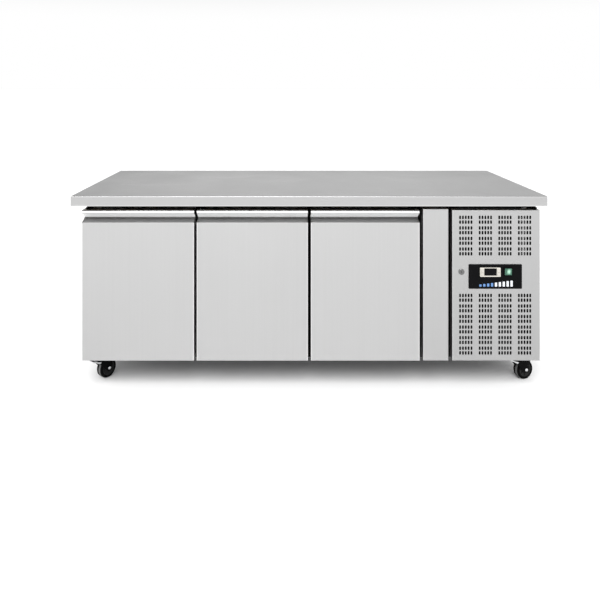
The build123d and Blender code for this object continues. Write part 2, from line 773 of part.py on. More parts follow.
def make_rocker():
    """The switch's rocker, at rest with its lower half pressed in."""
    pivot_y = rocker_pivot_y()
    tilt = math.radians(ROCKER_TILT)
    turned = [
        (
            pivot_y + y * math.cos(tilt) - z * math.sin(tilt),
            ROCKER_CENTRE[1] + y * math.sin(tilt) + z * math.cos(tilt),
        )
        for y, z in ROCKER_OUTLINE
    ]
    left = ROCKER_CENTRE[0] - ROCKER_WIDTH / 2
    with BuildPart() as rocker:
        with BuildSketch(Plane.YZ.offset(left)):
            with BuildLine():
                Polyline(*turned, close=True)
            make_face()
        extrude(amount=ROCKER_WIDTH)
        pivot = (ROCKER_CENTRE[0], pivot_y, ROCKER_CENTRE[1])
        rod(pivot, ROCKER_PIN_RADIUS, ROCKER_PIN_LENGTH, ALONG_X)
    write("rocker", rocker.part)


def make_lock():
    """A cam lock: a fixed barrel, and a plug with a key slot and a cam that turns in it."""
    x, z = LOCK_CENTRE
    flange_front = DOOR_FRONT - LOCK_FLANGE
    cam_front = DOOR_FRONT + PANEL_DEPTH + CAM_GAP
    cam_y = (cam_front, cam_front + CAM_THICK)
    with BuildPart() as barrel:
        rod((x, (flange_front + DOOR_FRONT) / 2, z), LOCK_FLANGE_RADIUS, LOCK_FLANGE, ALONG_Y)
        fillet(barrel.faces().sort_by(Axis.Y)[0].edges(), radius=1)
        middle = (x, DOOR_FRONT + LOCK_LENGTH / 2, z)
        rod(middle, LOCK_BODY_RADIUS, LOCK_LENGTH, ALONG_Y)
        rod(middle, LOCK_PLUG_RADIUS + PIN_CLEARANCE, 2 * LOCK_LENGTH, ALONG_Y, Mode.SUBTRACT)
    write("lock_barrel", barrel.part)

    plug_front = flange_front - PLUG_PROUD
    slot_half, slot_deep, slot_tall = KEY_SLOT
    with BuildPart() as plug:
        length = cam_y[1] - plug_front
        rod((x, (plug_front + cam_y[1]) / 2, z), LOCK_PLUG_RADIUS, length, ALONG_Y)
        slab(
            (x - slot_half, x + slot_half),
            (plug_front, plug_front + slot_deep),
            (z - slot_tall, z + slot_tall),
            Mode.SUBTRACT,
        )
        slab((x - CAM_HALF, x + CAM_HALF), cam_y, (z - CAM_REACH, z))
        rod((x, sum(cam_y) / 2, z), CAM_HALF, CAM_THICK, ALONG_Y)
    write("lock_plug", plug.part)


# ------------------------------------------------------------------ shelves
SHELF_Y = (-225, 275)
SHELF_Z = 400
POST_SIZE = (8, 20)
POST_Y = (-195, 245)
NOTCH_COUNT = 14
NOTCH_FIRST = 40
NOTCH_PITCH = 30
NOTCH_DEPTH = 3
NOTCH_HALF = (3, 5)
RUNNER_REACH = 14
RUNNER_RISE = 14
RUNNER_THICK = 1.5
RUNNER_WEB = 1.2
WIRE = 1.5
WIRE_PITCH = 27
CROSS_WIRE_DROP = 1.4
RIM = 3
SHELF_PLAY = 2
SHELF_END_GAP = 5


def make_shelf_supports():
    """Slotted posts each side of every bay, and the angle runners that hang on them."""
    pieces = []
    for index in range(len(DOOR_EDGES)):
        left, right = opening_x(index)
        for inner, outward in ((left, -1), (right, 1)):
            face = inner - outward * POST_SIZE[0]
            x_span = tuple(sorted((inner, face)))
            for y in POST_Y:
                with BuildPart() as post:
                    slab(x_span, (y - POST_SIZE[1] / 2, y + POST_SIZE[1] / 2), (FLOOR_TOP, CEILING))
                    for step in range(NOTCH_COUNT):
                        notch_z = FLOOR_TOP + NOTCH_FIRST + step * NOTCH_PITCH
                        slab(
                            tuple(sorted((face, face + outward * NOTCH_DEPTH))),
                            (y - NOTCH_HALF[0], y + NOTCH_HALF[0]),
                            (notch_z - NOTCH_HALF[1], notch_z + NOTCH_HALF[1]),
                            mode=Mode.SUBTRACT,
                        )
                pieces.append(post.part)
            runner_low = SHELF_Z - RIM - RUNNER_THICK
            with BuildPart() as runner:
                ledge = tuple(sorted((face, face - outward * RUNNER_REACH)))
                slab(ledge, SHELF_Y, (runner_low, SHELF_Z - RIM))
                web = tuple(sorted((face, face - outward * RUNNER_WEB)))
                slab(web, SHELF_Y, (runner_low, SHELF_Z + RUNNER_RISE))
            pieces.append(runner.part)
    write("shelf_supports", *pieces)


def wire_shelf(left, right):
    """A wire grid: a rim, close bars front to back, and three bars across under them."""
    low, high = SHELF_Y[0] + SHELF_END_GAP, SHELF_Y[1] - SHELF_END_GAP
    width, length = right - left, high - low
    centre = ((left + right) / 2, (low + high) / 2)
    bars = round(width / WIRE_PITCH)
    with BuildPart() as shelf:
        with Locations((*centre, SHELF_Z)):
            with GridLocations(width - 2 * RIM, 1, 2, 1):
                Cylinder(RIM, length, rotation=ALONG_Y)
            with GridLocations(1, length - 2 * RIM, 1, 2):
                Cylinder(RIM, width, rotation=ALONG_X)
            with GridLocations((width - 2 * RIM) / bars, 1, bars - 1, 1):
                Cylinder(WIRE, length - 2 * RIM, rotation=ALONG_Y)
        with Locations((*centre, SHELF_Z - CROSS_WIRE_DROP)):
            with GridLocations(1, length / 4, 1, 3):
                Cylinder(WIRE, width - 2 * RIM, rotation=ALONG_X)
    return shelf.part


def make_shelves():
    """One wire shelf behind each door."""
    shelves = []
    for index in range(len(DOOR_EDGES)):
        left, right = opening_x(index)
        side = POST_SIZE[0] + SHELF_PLAY
        shelves.append(wire_shelf(left + side, right - side))
    write("wire_shelves", *shelves)


# ------------------------------------------------------------------ evaporator
def fan(plane, radius, hub_radius, depth, shaft):
    """An axial fan on a plane that its shaft is normal to: a hub, pitched blades and a shaft."""
    blade_length = radius - hub_radius + BLADE_ROOT
    chord = radius * BLADE_CHORD_SHARE
    with BuildPart(plane) as wheel:
        Cylinder(hub_radius, depth + BLADE_ROOT)
        with PolarLocations(hub_radius + blade_length / 2 - BLADE_ROOT, BLADES):
            Box(blade_length, chord, BLADE_THICK, rotation=(BLADE_PITCH, 0, 0))
        Cylinder(radius, 4 * depth, mode=Mode.INTERSECT)
        with Locations((0, 0, shaft / 2)):
            Cylinder(SHAFT_RADIUS, shaft)
    return wheel.part


def make_evaporator():
    """The finned coil, the cover with its fan opening, and the fan with its motor."""
    coil_y, coil_z = COLD_COIL_Y, COLD_COIL_Z
    pitch = (coil_y[1] - coil_y[0]) / COLD_COIL_FINS
    gap = (COLD_FIN_DEPTH, pitch - COLD_FIN_THICK, coil_z[1] - coil_z[0])
    with BuildPart() as coil:
        slab(COLD_COIL_X, coil_y, coil_z)
        with Locations((COLD_COIL_X[0] + COLD_FIN_DEPTH / 2, sum(coil_y) / 2, sum(coil_z) / 2)):
            with GridLocations(1, pitch, 1, COLD_COIL_FINS):
                Box(*gap, mode=Mode.SUBTRACT)
    write("evaporator_coil", coil.part)

    fan_x, fan_y, fan_z = EVAPORATOR_FAN
    spoke = 2 * (COVER_RINGS[-1] + COVER_RING_GAP) + COVER_SPOKE
    with BuildPart() as cover:
        slab((COVER_X, COVER_X + COVER_THICK), (FRAME_BACK, INSIDE_BACK), (FLOOR_TOP, CEILING))
        with BuildSketch(Plane(origin=(COVER_X, 0, 0), x_dir=(0, 1, 0), z_dir=(1, 0, 0))):
            with Locations((fan_y, fan_z)):
                for ring in COVER_RINGS:
                    Circle(ring + COVER_RING_GAP)
                    Circle(ring, mode=Mode.SUBTRACT)
                Rectangle(spoke, COVER_SPOKE, mode=Mode.SUBTRACT)
                Rectangle(COVER_SPOKE, spoke, mode=Mode.SUBTRACT)
            with Locations((fan_y, FLOOR_TOP + COVER_SLOT[0])):
                with GridLocations(COVER_SLOT_PITCH, 1, COVER_SLOTS, 1):
                    SlotOverall(*COVER_SLOT, rotation=90)
        extrude(amount=2 * COVER_THICK, mode=Mode.SUBTRACT)
    write("evaporator_cover", cover.part)

    across = Plane(origin=EVAPORATOR_FAN, x_dir=(0, 1, 0), z_dir=(1, 0, 0))
    shaft = EVAPORATOR_MOTOR_X - fan_x + SHAFT_IN_MOTOR
    wheel = fan(across, EVAPORATOR_FAN_RADIUS, EVAPORATOR_HUB_RADIUS, EVAPORATOR_BLADE_DEPTH, shaft)
    write("evaporator_fan", wheel)
    arm_z = (fan_z - ARM_HALF, fan_z + ARM_HALF)
    arm_y = (fan_y - EVAPORATOR_ARM, fan_y + EVAPORATOR_ARM)
    foot_x = (COVER_X + COVER_THICK, EVAPORATOR_ARM_X[1])
    motor_radius, motor_length = EVAPORATOR_MOTOR
    with BuildPart() as motor:
        rod((EVAPORATOR_MOTOR_X + motor_length / 2, fan_y, fan_z), motor_radius, motor_length, ALONG_X)
        rod(EVAPORATOR_FAN, SHAFT_RADIUS + PIN_CLEARANCE, 2 * shaft + 2, ALONG_X, Mode.SUBTRACT)
        slab(EVAPORATOR_ARM_X, arm_y, arm_z)
        for foot_y in ((arm_y[0], arm_y[0] + FOOT_WIDTH), (arm_y[1] - FOOT_WIDTH, arm_y[1])):
            slab(foot_x, foot_y, arm_z)
    write("evaporator_fan_motor", motor.part)


# ------------------------------------------------------------------ machine room
def make_compressor():
    """A domed compressor on its mounting plate, standing on four rubber feet on the base plate."""
    write("machine_base_plate", slab_part(BASE_PLATE_X, BASE_PLATE_Y, (BASE_TOP, BASE_PLATE_TOP)))

    x, y = COMPRESSOR_CENTRE
    foot_top = BASE_PLATE_TOP + FOOT_HEIGHT
    feet = []
    for foot_x in (x - FOOT_PLACES[0], x + FOOT_PLACES[0]):
        for foot_y in (y - FOOT_PLACES[1], y + FOOT_PLACES[1]):
            with BuildPart() as foot:
                rod((foot_x, foot_y, BASE_PLATE_TOP + FOOT_HEIGHT / 2), FOOT_RADIUS, FOOT_HEIGHT)
            feet.append(foot.part)
    shell_low = foot_top + SHELL_GAP
    shell_top = shell_low + COMPRESSOR_HEIGHT
    shoulder, eaves = shell_low + SHELL_SHOULDER, shell_low + SHELL_EAVES
    radius = COMPRESSOR_RADIUS
    plate_x, plate_y = FOOT_PLACES[0] + FOOT_RADIUS, FOOT_PLACES[1] + FOOT_RADIUS
    with BuildPart() as compressor:
        with BuildSketch(Plane(origin=(x, y, 0), x_dir=(1, 0, 0), z_dir=(0, -1, 0))):
            with BuildLine():
                Line((0, shell_low), (SHELL_FLAT, shell_low))
                TangentArc((SHELL_FLAT, shell_low), (radius, shoulder), tangent=(1, 0))
                Line((radius, shoulder), (radius, eaves))
                TangentArc((radius, eaves), (0, shell_top), tangent=(0, 1))
                Line((0, shell_top), (0, shell_low))
            make_face()
        revolve(axis=Axis((x, y, 0), (0, 0, 1)))
        slab(
            (x - plate_x, x + plate_x),
            (y - plate_y, y + plate_y),
            (foot_top, shell_low + MOUNT_TOP),
        )
        slab(
            (x - TERMINAL_HALF, x + TERMINAL_HALF),
            (y - radius - TERMINAL_REACH, y - TERMINAL_ROOT),
            (shell_low + TERMINAL_LOW, eaves),
        )
    write("compressor", compressor.part, *feet)


def make_condenser():
    """The finned coil behind the vents, its shroud with the fan's motor, and the fan."""
    fins_low, fins_top = COIL_FINS_Z
    pitch = (COIL_X[1] - COIL_X[0]) / COIL_FINS
    with BuildPart() as condenser:
        slab(COIL_X, COIL_Y, (BASE_PLATE_TOP, COIL_TOP))
        with Locations((sum(COIL_X) / 2, COIL_Y[0] + FIN_DEPTH / 2, sum(COIL_FINS_Z) / 2)):
            with GridLocations(pitch, 1, COIL_FINS, 1):
                Box(pitch * FIN_GAP_SHARE, FIN_DEPTH, fins_top - fins_low, mode=Mode.SUBTRACT)
    write("condenser_coil", condenser.part)

    fan_x, fan_y, fan_z = FAN_CENTRE
    ring = FAN_RADIUS + RING_CLEARANCE
    bar_z = (fan_z - FAN_BAR_HALF, fan_z + FAN_BAR_HALF)
    bar_end = ring + ARM_GAP
    ahead = Plane(origin=FAN_CENTRE, x_dir=(1, 0, 0), z_dir=(0, 1, 0))
    shaft = FAN_BAR_Y[1] - fan_y + FAN_SHAFT_DEPTH
    back = COIL_Y[1]
    ring_centre = (fan_x, back + RING_DEPTH / 2, fan_z)
    motor_radius, motor_length = FAN_MOTOR
    with BuildPart() as shroud:
        slab(COIL_X, (back, back + SHROUD_SHEET), (BASE_PLATE_TOP + SHROUD_LOW, COIL_TOP))
        rod(ring_centre, ring + RING_WALL, RING_DEPTH, ALONG_Y)
        rod(ring_centre, ring, RING_DEPTH + 10, ALONG_Y, Mode.SUBTRACT)
        slab((fan_x - bar_end, fan_x + bar_end), FAN_BAR_Y, bar_z)
        for arm_left in (fan_x - bar_end - ARM_WIDTH, fan_x + bar_end):
            slab((arm_left, arm_left + ARM_WIDTH), (back, FAN_BAR_Y[1]), bar_z)
        rod(FAN_CENTRE, SHAFT_RADIUS + PIN_CLEARANCE, 2 * shaft + 2, ALONG_Y, Mode.SUBTRACT)
    with BuildPart() as motor:
        rod((fan_x, FAN_BAR_Y[1] + motor_length / 2, fan_z), motor_radius, motor_length, ALONG_Y)
        fillet(motor.faces().sort_by(Axis.Y)[-1].edges(), radius=FAN_MOTOR_ROUND)
        rod(FAN_CENTRE, SHAFT_RADIUS + PIN_CLEARANCE, 2 * shaft + 2, ALONG_Y, Mode.SUBTRACT)
    write("condenser_shroud", shroud.part, motor.part)
    write("condenser_fan", fan(ahead, FAN_RADIUS, FAN_HUB_RADIUS, FAN_BLADE_DEPTH, shaft))


def make_rear_grille():
    """The slotted panel behind the machine room, and the gland that a cable goes in by."""
    with BuildPart() as grille:
        slab((MACHINE_LEFT, BODY_RIGHT - SHEET), (BODY_BACK - SHEET, BODY_BACK), (BASE_BOTTOM, UNDERSIDE))
        with BuildSketch(front_plane(BODY_BACK - SHEET)):
            with Locations(GRILLE_CENTRE):
                with GridLocations(*GRILLE_PITCH, *GRILLE_COUNT):
                    SlotOverall(*GRILLE_SLOT)
            with Locations(GLAND_PLACE):
                Circle(GLAND_RADIUS)
        extrude(amount=-SHEET, mode=Mode.SUBTRACT)
    write("rear_grille", grille.part)

    x, z = GLAND_PLACE
    with BuildPart() as gland:
        rod((x, GLAND_Y, z), GLAND_RADIUS, GLAND_LENGTH, ALONG_Y)
        with BuildSketch(Plane(origin=(0, BODY_BACK, 0), x_dir=(-1, 0, 0), z_dir=(0, 1, 0))):
            with Locations((-x, z)):
                RegularPolygon(GLAND_NUT[0], 6)
        extrude(amount=GLAND_NUT[1])
        rod((x, GLAND_Y, z), GLAND_BORE, GLAND_LENGTH + 10, ALONG_Y, Mode.SUBTRACT)
    write("cable_gland", gland.part)


def pipe(radius, bend, *points):
    """A copper pipe through points, bent to one radius at each."""
    with BuildPart() as tube:
        with BuildLine() as route:
            FilletPolyline(*points, radius=bend)
        with BuildSketch(Plane(origin=points[0], z_dir=route.wire() % 0)):
            Circle(radius)
        sweep()
    return tube.part


def make_pipes():
    """Suction pipe through the partition, hot pipe to the condenser, and the filter drier."""
    x, y = COMPRESSOR_CENTRE
    shell = COMPRESSOR_RADIUS + PIPE_GAP
    hole_y, hole_z = PIPE_HOLE
    bend_x = x - shell - SUCTION_RUN
    suction = pipe(
        SUCTION_RADIUS, SUCTION_BEND,
        (FOAM_RIGHT - PIPE_END_GAP, hole_y, hole_z), (bend_x, hole_y, hole_z),
        (bend_x, y, hole_z), (x - shell, y, hole_z),
    )
    coil_y = COIL_Y[0] + 0.9 * FIN_DEPTH
    hot = pipe(
        HOT_PIPE_RADIUS, HOT_BEND,
        (x + shell, y, HOT_PIPE_Z), (HOT_PIPE_X, y, HOT_PIPE_Z),
        (HOT_PIPE_X, coil_y, HOT_PIPE_Z), (COIL_X[1] + 2 * PIPE_GAP, coil_y, HOT_PIPE_Z),
    )
    with BuildPart() as drier:
        rod(DRIER_PLACE, DRIER_RADIUS, DRIER_LENGTH, ALONG_Y)
        fillet(drier.edges().filter_by(GeomType.CIRCLE), radius=DRIER_ROUND)
        rod(DRIER_PLACE, HOT_PIPE_RADIUS, DRIER_PIPE_LENGTH, ALONG_Y)
    write("refrigerant_pipes", suction, hot, drier.part)


# ------------------------------------------------------------------ casters
def caster_plate():
    """The fixed top plate with its race, and the kingpin that the fork turns on."""
    length, width, thick = CASTER_PLATE
    plate_low = BASE_BOTTOM - thick
    race_low = plate_low - RACE_HEIGHT
    with BuildPart() as plate:
        slab((-length / 2, length / 2), (-width / 2, width / 2), (plate_low, BASE_BOTTOM))
        fillet(plate.edges().filter_by(Axis.Z), radius=PLATE_CORNER)
        rod((0, 0, (race_low + plate_low) / 2), RACE_RADIUS, RACE_HEIGHT)
        chamfer(plate.faces().sort_by(Axis.Z)[0].edges(), length=RACE_BEVEL)
        rod((0, 0, (KINGPIN_BOTTOM + plate_low) / 2), KINGPIN_RADIUS, plate_low - KINGPIN_BOTTOM)
        head_z = KINGPIN_BOTTOM - KINGPIN_HEAD / 2
        rod((0, 0, head_z), KINGPIN_HEAD_RADIUS, KINGPIN_HEAD)
        with Locations((0, 0, BASE_BOTTOM - thick / 2)):
            with GridLocations(*CASTER_BOLTS, 2, 2):
                Cylinder(PLATE_HOLE_RADIUS, thick, mode=Mode.SUBTRACT)
    return plate.part


def caster_fork(has_brake):
    """A pressed fork: a crown under the race and two tapered legs, with the axle bolt and nut."""
    inner = WHEEL_WIDTH / 2 + FORK_GAP
    outer = inner + FORK_SHEET
    axle = (0, CASTER_TRAIL, WHEEL_RADIUS)
    crown = (0, 0, sum(CROWN_Z) / 2)
    crown_height = CROWN_Z[1] - CROWN_Z[0]
    front = FORK_FRONT_BRAKED if has_brake else FORK_FRONT_PLAIN
    with BuildPart() as fork:
        with BuildSketch(Plane.YZ.offset(-outer)):
            with BuildLine():
                Polyline(*front, *FORK_FOOT_AND_BACK, close=True)
            make_face()
        extrude(amount=2 * outer)
        slab((-inner, inner), (-CROWN_Z[0], CROWN_Z[0]), (0, CROWN_Z[0]), mode=Mode.SUBTRACT)
        rod(crown, CROWN_RADIUS, crown_height)
        rod(crown, KINGPIN_RADIUS + PIN_CLEARANCE, 3 * crown_height, mode=Mode.SUBTRACT)
        rod(axle, AXLE_RADIUS, 3 * outer, ALONG_X, Mode.SUBTRACT)
    with BuildPart() as bolt:
        rod(axle, AXLE_RADIUS - AXLE_CLEARANCE, 2 * outer, ALONG_X)
        for side, height in ((-1, BOLT_HEAD), (1, BOLT_HEAD - 1)):
            with BuildSketch(Plane.YZ.offset(side * outer)):
                with Locations(axle[1:]):
                    RegularPolygon(BOLT_HEX_RADIUS, 6)
            extrude(amount=side * height)
    pieces = [fork.part, bolt.part]
    if has_brake:
        with BuildPart() as pivot:
            rod((0, *PEDAL_PIVOT), PEDAL_PIN_RADIUS, 2 * (PEDAL_INNER + PEDAL_SHEET), ALONG_X)
        pieces[0] = pieces[0] - pivot.part
        pieces.append(pivot.part)
    return pieces


def caster_wheel():
    """A rubber tyre with a rounded tread, on a dished hub with a running bore."""
    at = (0, CASTER_TRAIL, WHEEL_RADIUS)
    hub_radius = WHEEL_RADIUS - TYRE_THICK
    with BuildPart() as tyre:
        rod(at, WHEEL_RADIUS, WHEEL_WIDTH, ALONG_X)
        fillet(tyre.edges().filter_by(GeomType.CIRCLE), radius=TYRE_ROUND)
        rod(at, hub_radius, WHEEL_WIDTH, ALONG_X, Mode.SUBTRACT)
    with BuildPart() as hub:
        rod(at, hub_radius, WHEEL_WIDTH - 2 * HUB_INSET, ALONG_X)
        for side in (-1, 1):
            face = (side * WHEEL_WIDTH / 2, *at[1:])
            rod(face, hub_radius - HUB_WALL, 2 * HUB_RECESS, ALONG_X, Mode.SUBTRACT)
        rod(at, HUB_BOSS_RADIUS, WHEEL_WIDTH, ALONG_X)
        rod(at, AXLE_RADIUS, 2 * WHEEL_WIDTH, ALONG_X, Mode.SUBTRACT)
    return [tyre.part, hub.part]


def brake_pedal():
    """A pressed pedal astride the fork: a cheek on each end of the pin, and a rising tread."""
    outer = PEDAL_INNER + PEDAL_SHEET
    tread = [PEDAL_BEND, PEDAL_TIP]
    tread += [(y, z - PEDAL_SHEET) for y, z in reversed(tread)]
    with BuildPart() as pedal:
        for side in (-1, 1):
            with BuildSketch(Plane.YZ.offset(side * PEDAL_INNER)):
                with BuildLine():
                    Polyline(*CHEEK_OUTLINE, close=True)
                make_face()
            extrude(amount=side * PEDAL_SHEET)
        with BuildSketch(Plane.YZ.offset(-outer)):
            with BuildLine():
                Polyline(*tread, close=True)
            make_face()
        extrude(amount=2 * outer)
        bore = PEDAL_PIN_RADIUS + PIN_CLEARANCE
        rod((0, *PEDAL_PIVOT), bore, 3 * outer, ALONG_X, Mode.SUBTRACT)
    return pedal.part


def make_casters():
    """Four swivel casters. The two at the front have brakes."""
    plates, bolts = [], []
    for corner, (x, y), yaw in caster_corners():
        has_brake = corner.startswith("f")
        place = Location((x, y, 0))
        turned = Location((x, y, 0), (0, 0, yaw))
        plates.append(caster_plate().moved(place))
        write(f"caster_{corner}_fork", *[piece.moved(turned) for piece in caster_fork(has_brake)])
        write(f"caster_{corner}_wheel", *[piece.moved(turned) for piece in caster_wheel()])
        if has_brake:
            write(f"caster_{corner}_pedal", brake_pedal().moved(turned))
        with BuildPart() as four_bolts:
            with Locations((x, y, BASE_TOP - BOLT_HEAD / 2)):
                with GridLocations(*CASTER_BOLTS, 2, 2):
                    Cylinder(BOLT_RADIUS, BOLT_HEAD)
            with BuildSketch(Plane.XY.offset(BASE_BOTTOM - CASTER_PLATE[2])):
                with Locations((x, y)):
                    with GridLocations(*CASTER_BOLTS, 2, 2):
                        RegularPolygon(BOLT_HEX_RADIUS, 6)
            extrude(amount=-BOLT_HEAD)
        bolts.append(four_bolts.part)
    write("caster_plates", *plates)
    write("caster_bolts", *bolts)


make_worktop()
make_shell()
make_insulation()
make_front_frames()
make_filler()
make_hinge_brackets()
make_doors()
make_service_panel()
make_controls()
make_rocker()
make_lock()
make_shelf_supports()
make_shelves()
make_evaporator()
make_compressor()
make_condenser()
make_rear_grille()
make_pipes()
make_casters()
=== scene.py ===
import math
import bmesh
import bpy
from mathutils import Matrix, Vector
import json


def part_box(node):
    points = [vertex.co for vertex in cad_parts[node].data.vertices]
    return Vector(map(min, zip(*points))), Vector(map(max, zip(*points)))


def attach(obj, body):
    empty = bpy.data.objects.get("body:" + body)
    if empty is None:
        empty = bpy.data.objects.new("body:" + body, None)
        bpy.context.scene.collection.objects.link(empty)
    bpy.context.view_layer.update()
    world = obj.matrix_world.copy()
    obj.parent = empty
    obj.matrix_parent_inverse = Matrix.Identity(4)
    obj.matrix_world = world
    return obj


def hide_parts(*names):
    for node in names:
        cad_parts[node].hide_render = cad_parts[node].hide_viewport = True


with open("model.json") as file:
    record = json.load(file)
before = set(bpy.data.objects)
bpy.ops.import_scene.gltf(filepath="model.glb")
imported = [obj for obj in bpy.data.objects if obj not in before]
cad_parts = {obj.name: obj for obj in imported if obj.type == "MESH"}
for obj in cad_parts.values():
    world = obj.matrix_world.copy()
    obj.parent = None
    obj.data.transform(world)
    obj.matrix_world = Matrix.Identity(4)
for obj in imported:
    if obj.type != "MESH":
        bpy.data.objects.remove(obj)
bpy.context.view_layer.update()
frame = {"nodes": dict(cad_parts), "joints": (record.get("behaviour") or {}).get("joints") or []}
nodes = frame["nodes"]
joints = {joint["name"]: joint for joint in frame["joints"]}
MM = 0.001
DOORS = ("door_1", "door_2", "door_3")
CASTERS = ("caster_fl", "caster_fr", "caster_rl", "caster_rr")
MAP_RANGE = ("From Min", "From Max", "To Min", "To Max")
NOISE = (0.3, 0.7)  # most of a noise texture's values lie between these
UNIT = (0.0, 1.0)
FALLING = (1.0, 0.0)
TIMES = "MULTIPLY"


# ---------------------------------------------------------------- small node-graph helpers
class Surface:
    """A procedural material: the shader, and short ways to add nodes to it."""

    def __init__(self, name, colour, roughness, metallic=0.0, **constants):
        self.material = bpy.data.materials.new(name)
        self.material.use_nodes = True
        self.tree = self.material.node_tree
        self.shader = self.tree.nodes["Principled BSDF"]
        self.shader.inputs["Base Color"].default_value = (*colour, 1)
        self.shader.inputs["Roughness"].default_value = roughness
        self.shader.inputs["Metallic"].default_value = metallic
        for socket, value in constants.items():
            self.shader.inputs[socket.replace("_", " ")].default_value = value
        self.place = self.tree.nodes.new("ShaderNodeTexCoord").outputs["Object"]

    def link(self, out, socket):
        self.tree.links.new(out, socket)

    def stretched(self, scale):
        """Object coordinates in metres, scaled along each axis."""
        node = self.tree.nodes.new("ShaderNodeMapping")
        node.inputs["Scale"].default_value = scale
        self.link(self.place, node.inputs["Vector"])
        return node.outputs["Vector"]

    def noise(self, scale, detail=2.0, rough=0.5, distortion=0.0):
        """Noise between about 0 and 1, with one scale for each axis, in cycles per metre."""
        node = self.tree.nodes.new("ShaderNodeTexNoise")
        self.link(self.stretched(scale), node.inputs["Vector"])
        node.inputs["Scale"].default_value = 1.0
        node.inputs["Detail"].default_value = detail
        node.inputs["Roughness"].default_value = rough
        node.inputs["Distortion"].default_value = distortion
        return node.outputs["Fac"]

    def cells(self, scale, feature="DISTANCE_TO_EDGE"):
        node = self.tree.nodes.new("ShaderNodeTexVoronoi")
        node.feature = feature
        self.link(self.stretched(scale), node.inputs["Vector"])
        node.inputs["Scale"].default_value = 1.0
        return node.outputs["Distance"]

    def spread(self, value, low, high, to_low, to_high):
        """Maps one range of a value to another, clamped."""
        node = self.tree.nodes.new("ShaderNodeMapRange")
        self.link(value, node.inputs["Value"])
        for socket, number in zip(MAP_RANGE, (low, high, to_low, to_high)):
            node.inputs[socket].default_value = number
        return node.outputs["Result"]

    def sum(self, first, second, operation="ADD"):
        """Two values added, or put through another operation of the math node."""
        node = self.tree.nodes.new("ShaderNodeMath")
        node.operation = operation
        for value, socket in zip((first, second), node.inputs):
            if isinstance(value, (int, float)):
                socket.default_value = value
            else:
                self.link(value, socket)
        return node.outputs["Value"]

    def blend(self, factor, first, second):
        """A colour between two colours."""
        node = self.tree.nodes.new("ShaderNodeMix")
        node.data_type = "RGBA"
        self.link(factor, node.inputs["Factor"])
        a_socket, b_socket = node.inputs[6], node.inputs[7]
        for colour, socket in ((first, a_socket), (second, b_socket)):
            if isinstance(colour, tuple):
                socket.default_value = (*colour, 1)
            else:
                self.link(colour, socket)
        return node.outputs[2]

    def colour(self, out):
        self.link(out, self.shader.inputs["Base Color"])

    def rough(self, out):
        self.link(out, self.shader.inputs["Roughness"])

    def bump(self, height, distance, strength=1.0):
        node = self.tree.nodes.new("ShaderNodeBump")
        node.inputs["Distance"].default_value = distance
        node.inputs["Strength"].default_value = strength
        self.link(height, node.inputs["Height"])
        self.link(node.outputs["Normal"], self.shader.inputs["Normal"])

    def pointiness(self):
        """0 in crevices, about 0.5 on flats and 1 on sharp outer edges."""
        return self.tree.nodes.new("ShaderNodeNewGeometry").outputs["Pointiness"]

    def along(self, axis):
        """One object coordinate, in metres."""
        node = self.tree.nodes.new("ShaderNodeSeparateXYZ")
        self.link(self.place, node.inputs["Vector"])
        return node.outputs[axis]


def shades(colour, amount, limit=1.0):
    """The colour made darker or lighter by a factor."""
    return tuple(min(limit, channel * amount) for channel in colour)


# ---------------------------------------------------------------- materials
# Cycles of noise for each metre along a sheet's grain and across it.
GRAIN_ALONG = 6.0
GRAIN_ACROSS = 1900.0
STREAK_ALONG = 1.3
STREAK_ACROSS = 190.0
STREAK_OF_GROOVE = (STREAK_ALONG, STREAK_ACROSS, STREAK_ACROSS)

# Tones of painted light and shade are added to a sheet's own shade: -1 is black, and 1 is twice as
# bright.
END_FADE = (0.05, 0.45)  # how far from the worktop's ends the painted shade starts and stops, in metres
LEFT_END_SHADE = -0.23
RIGHT_END_SHADE = -0.15
BACK_FADE = 0.3
BACK_SHADE = -0.12
FRONT_SHADE = -0.2
ARRIS_HIGHLIGHT = 0.3
ARRIS_SHADE = -0.6
FOOT_HIGHLIGHT = 0.14
DOOR_SHADE_AND_LIGHT = (-0.05, 0.065)  # painted shade at the foot and painted light at the top
# painted highlight along the doors' folded sides
FOLD_HIGHLIGHT = 0.32
LIP_SHADE = -0.8
PANEL_FOLD_HIGHLIGHT = 0.3
STRIP_SHADE = -0.85


def brushed_steel(name, colour, grain, roughness=0.34, tint=None, flange=None):
    """Stainless sheet: fine grain along one axis, longer streaks, faint wipe marks.
    A tint, given the surface, says how much lighter or darker each place is, as painted light and
    shade."""
    surface = Surface(name, colour, roughness, metallic=1.0)
    long_axis = "XYZ".index(grain)
    fine = tuple(GRAIN_ALONG if axis == long_axis else GRAIN_ACROSS for axis in range(3))
    streak = tuple(STREAK_ALONG if axis == long_axis else STREAK_ACROSS for axis in range(3))
    grain_fac = surface.noise(fine, 3.0, 0.6)
    streak_fac = surface.noise(streak, 4.0, 0.65)
    wipe_fac = surface.noise((5.0, 5.0, 5.0), 3.0, 0.55, 0.8)
    tone = surface.spread(streak_fac, *NOISE, -0.012, 0.012)
    if tint:
        tone = surface.sum(tone, tint(surface))
    shade = surface.spread(tone, -1.0, 1.0, *UNIT)
    surface.colour(surface.blend(shade, (0.0, 0.0, 0.0), shades(colour, 2.0, 2.0)))
    wear_and_shade = surface.spread(grain_fac, 0.25, 0.75, roughness - 0.04, roughness + 0.05)
    surface.rough(surface.sum(wear_and_shade, surface.spread(wipe_fac, 0.35, 0.7, -0.02, 0.03)))
    surface.bump(surface.sum(grain_fac, surface.sum(streak_fac, 0.3, TIMES)), 0.00002, 0.5)
    if flange:
        matt_flange(surface, flange)
    return surface.material


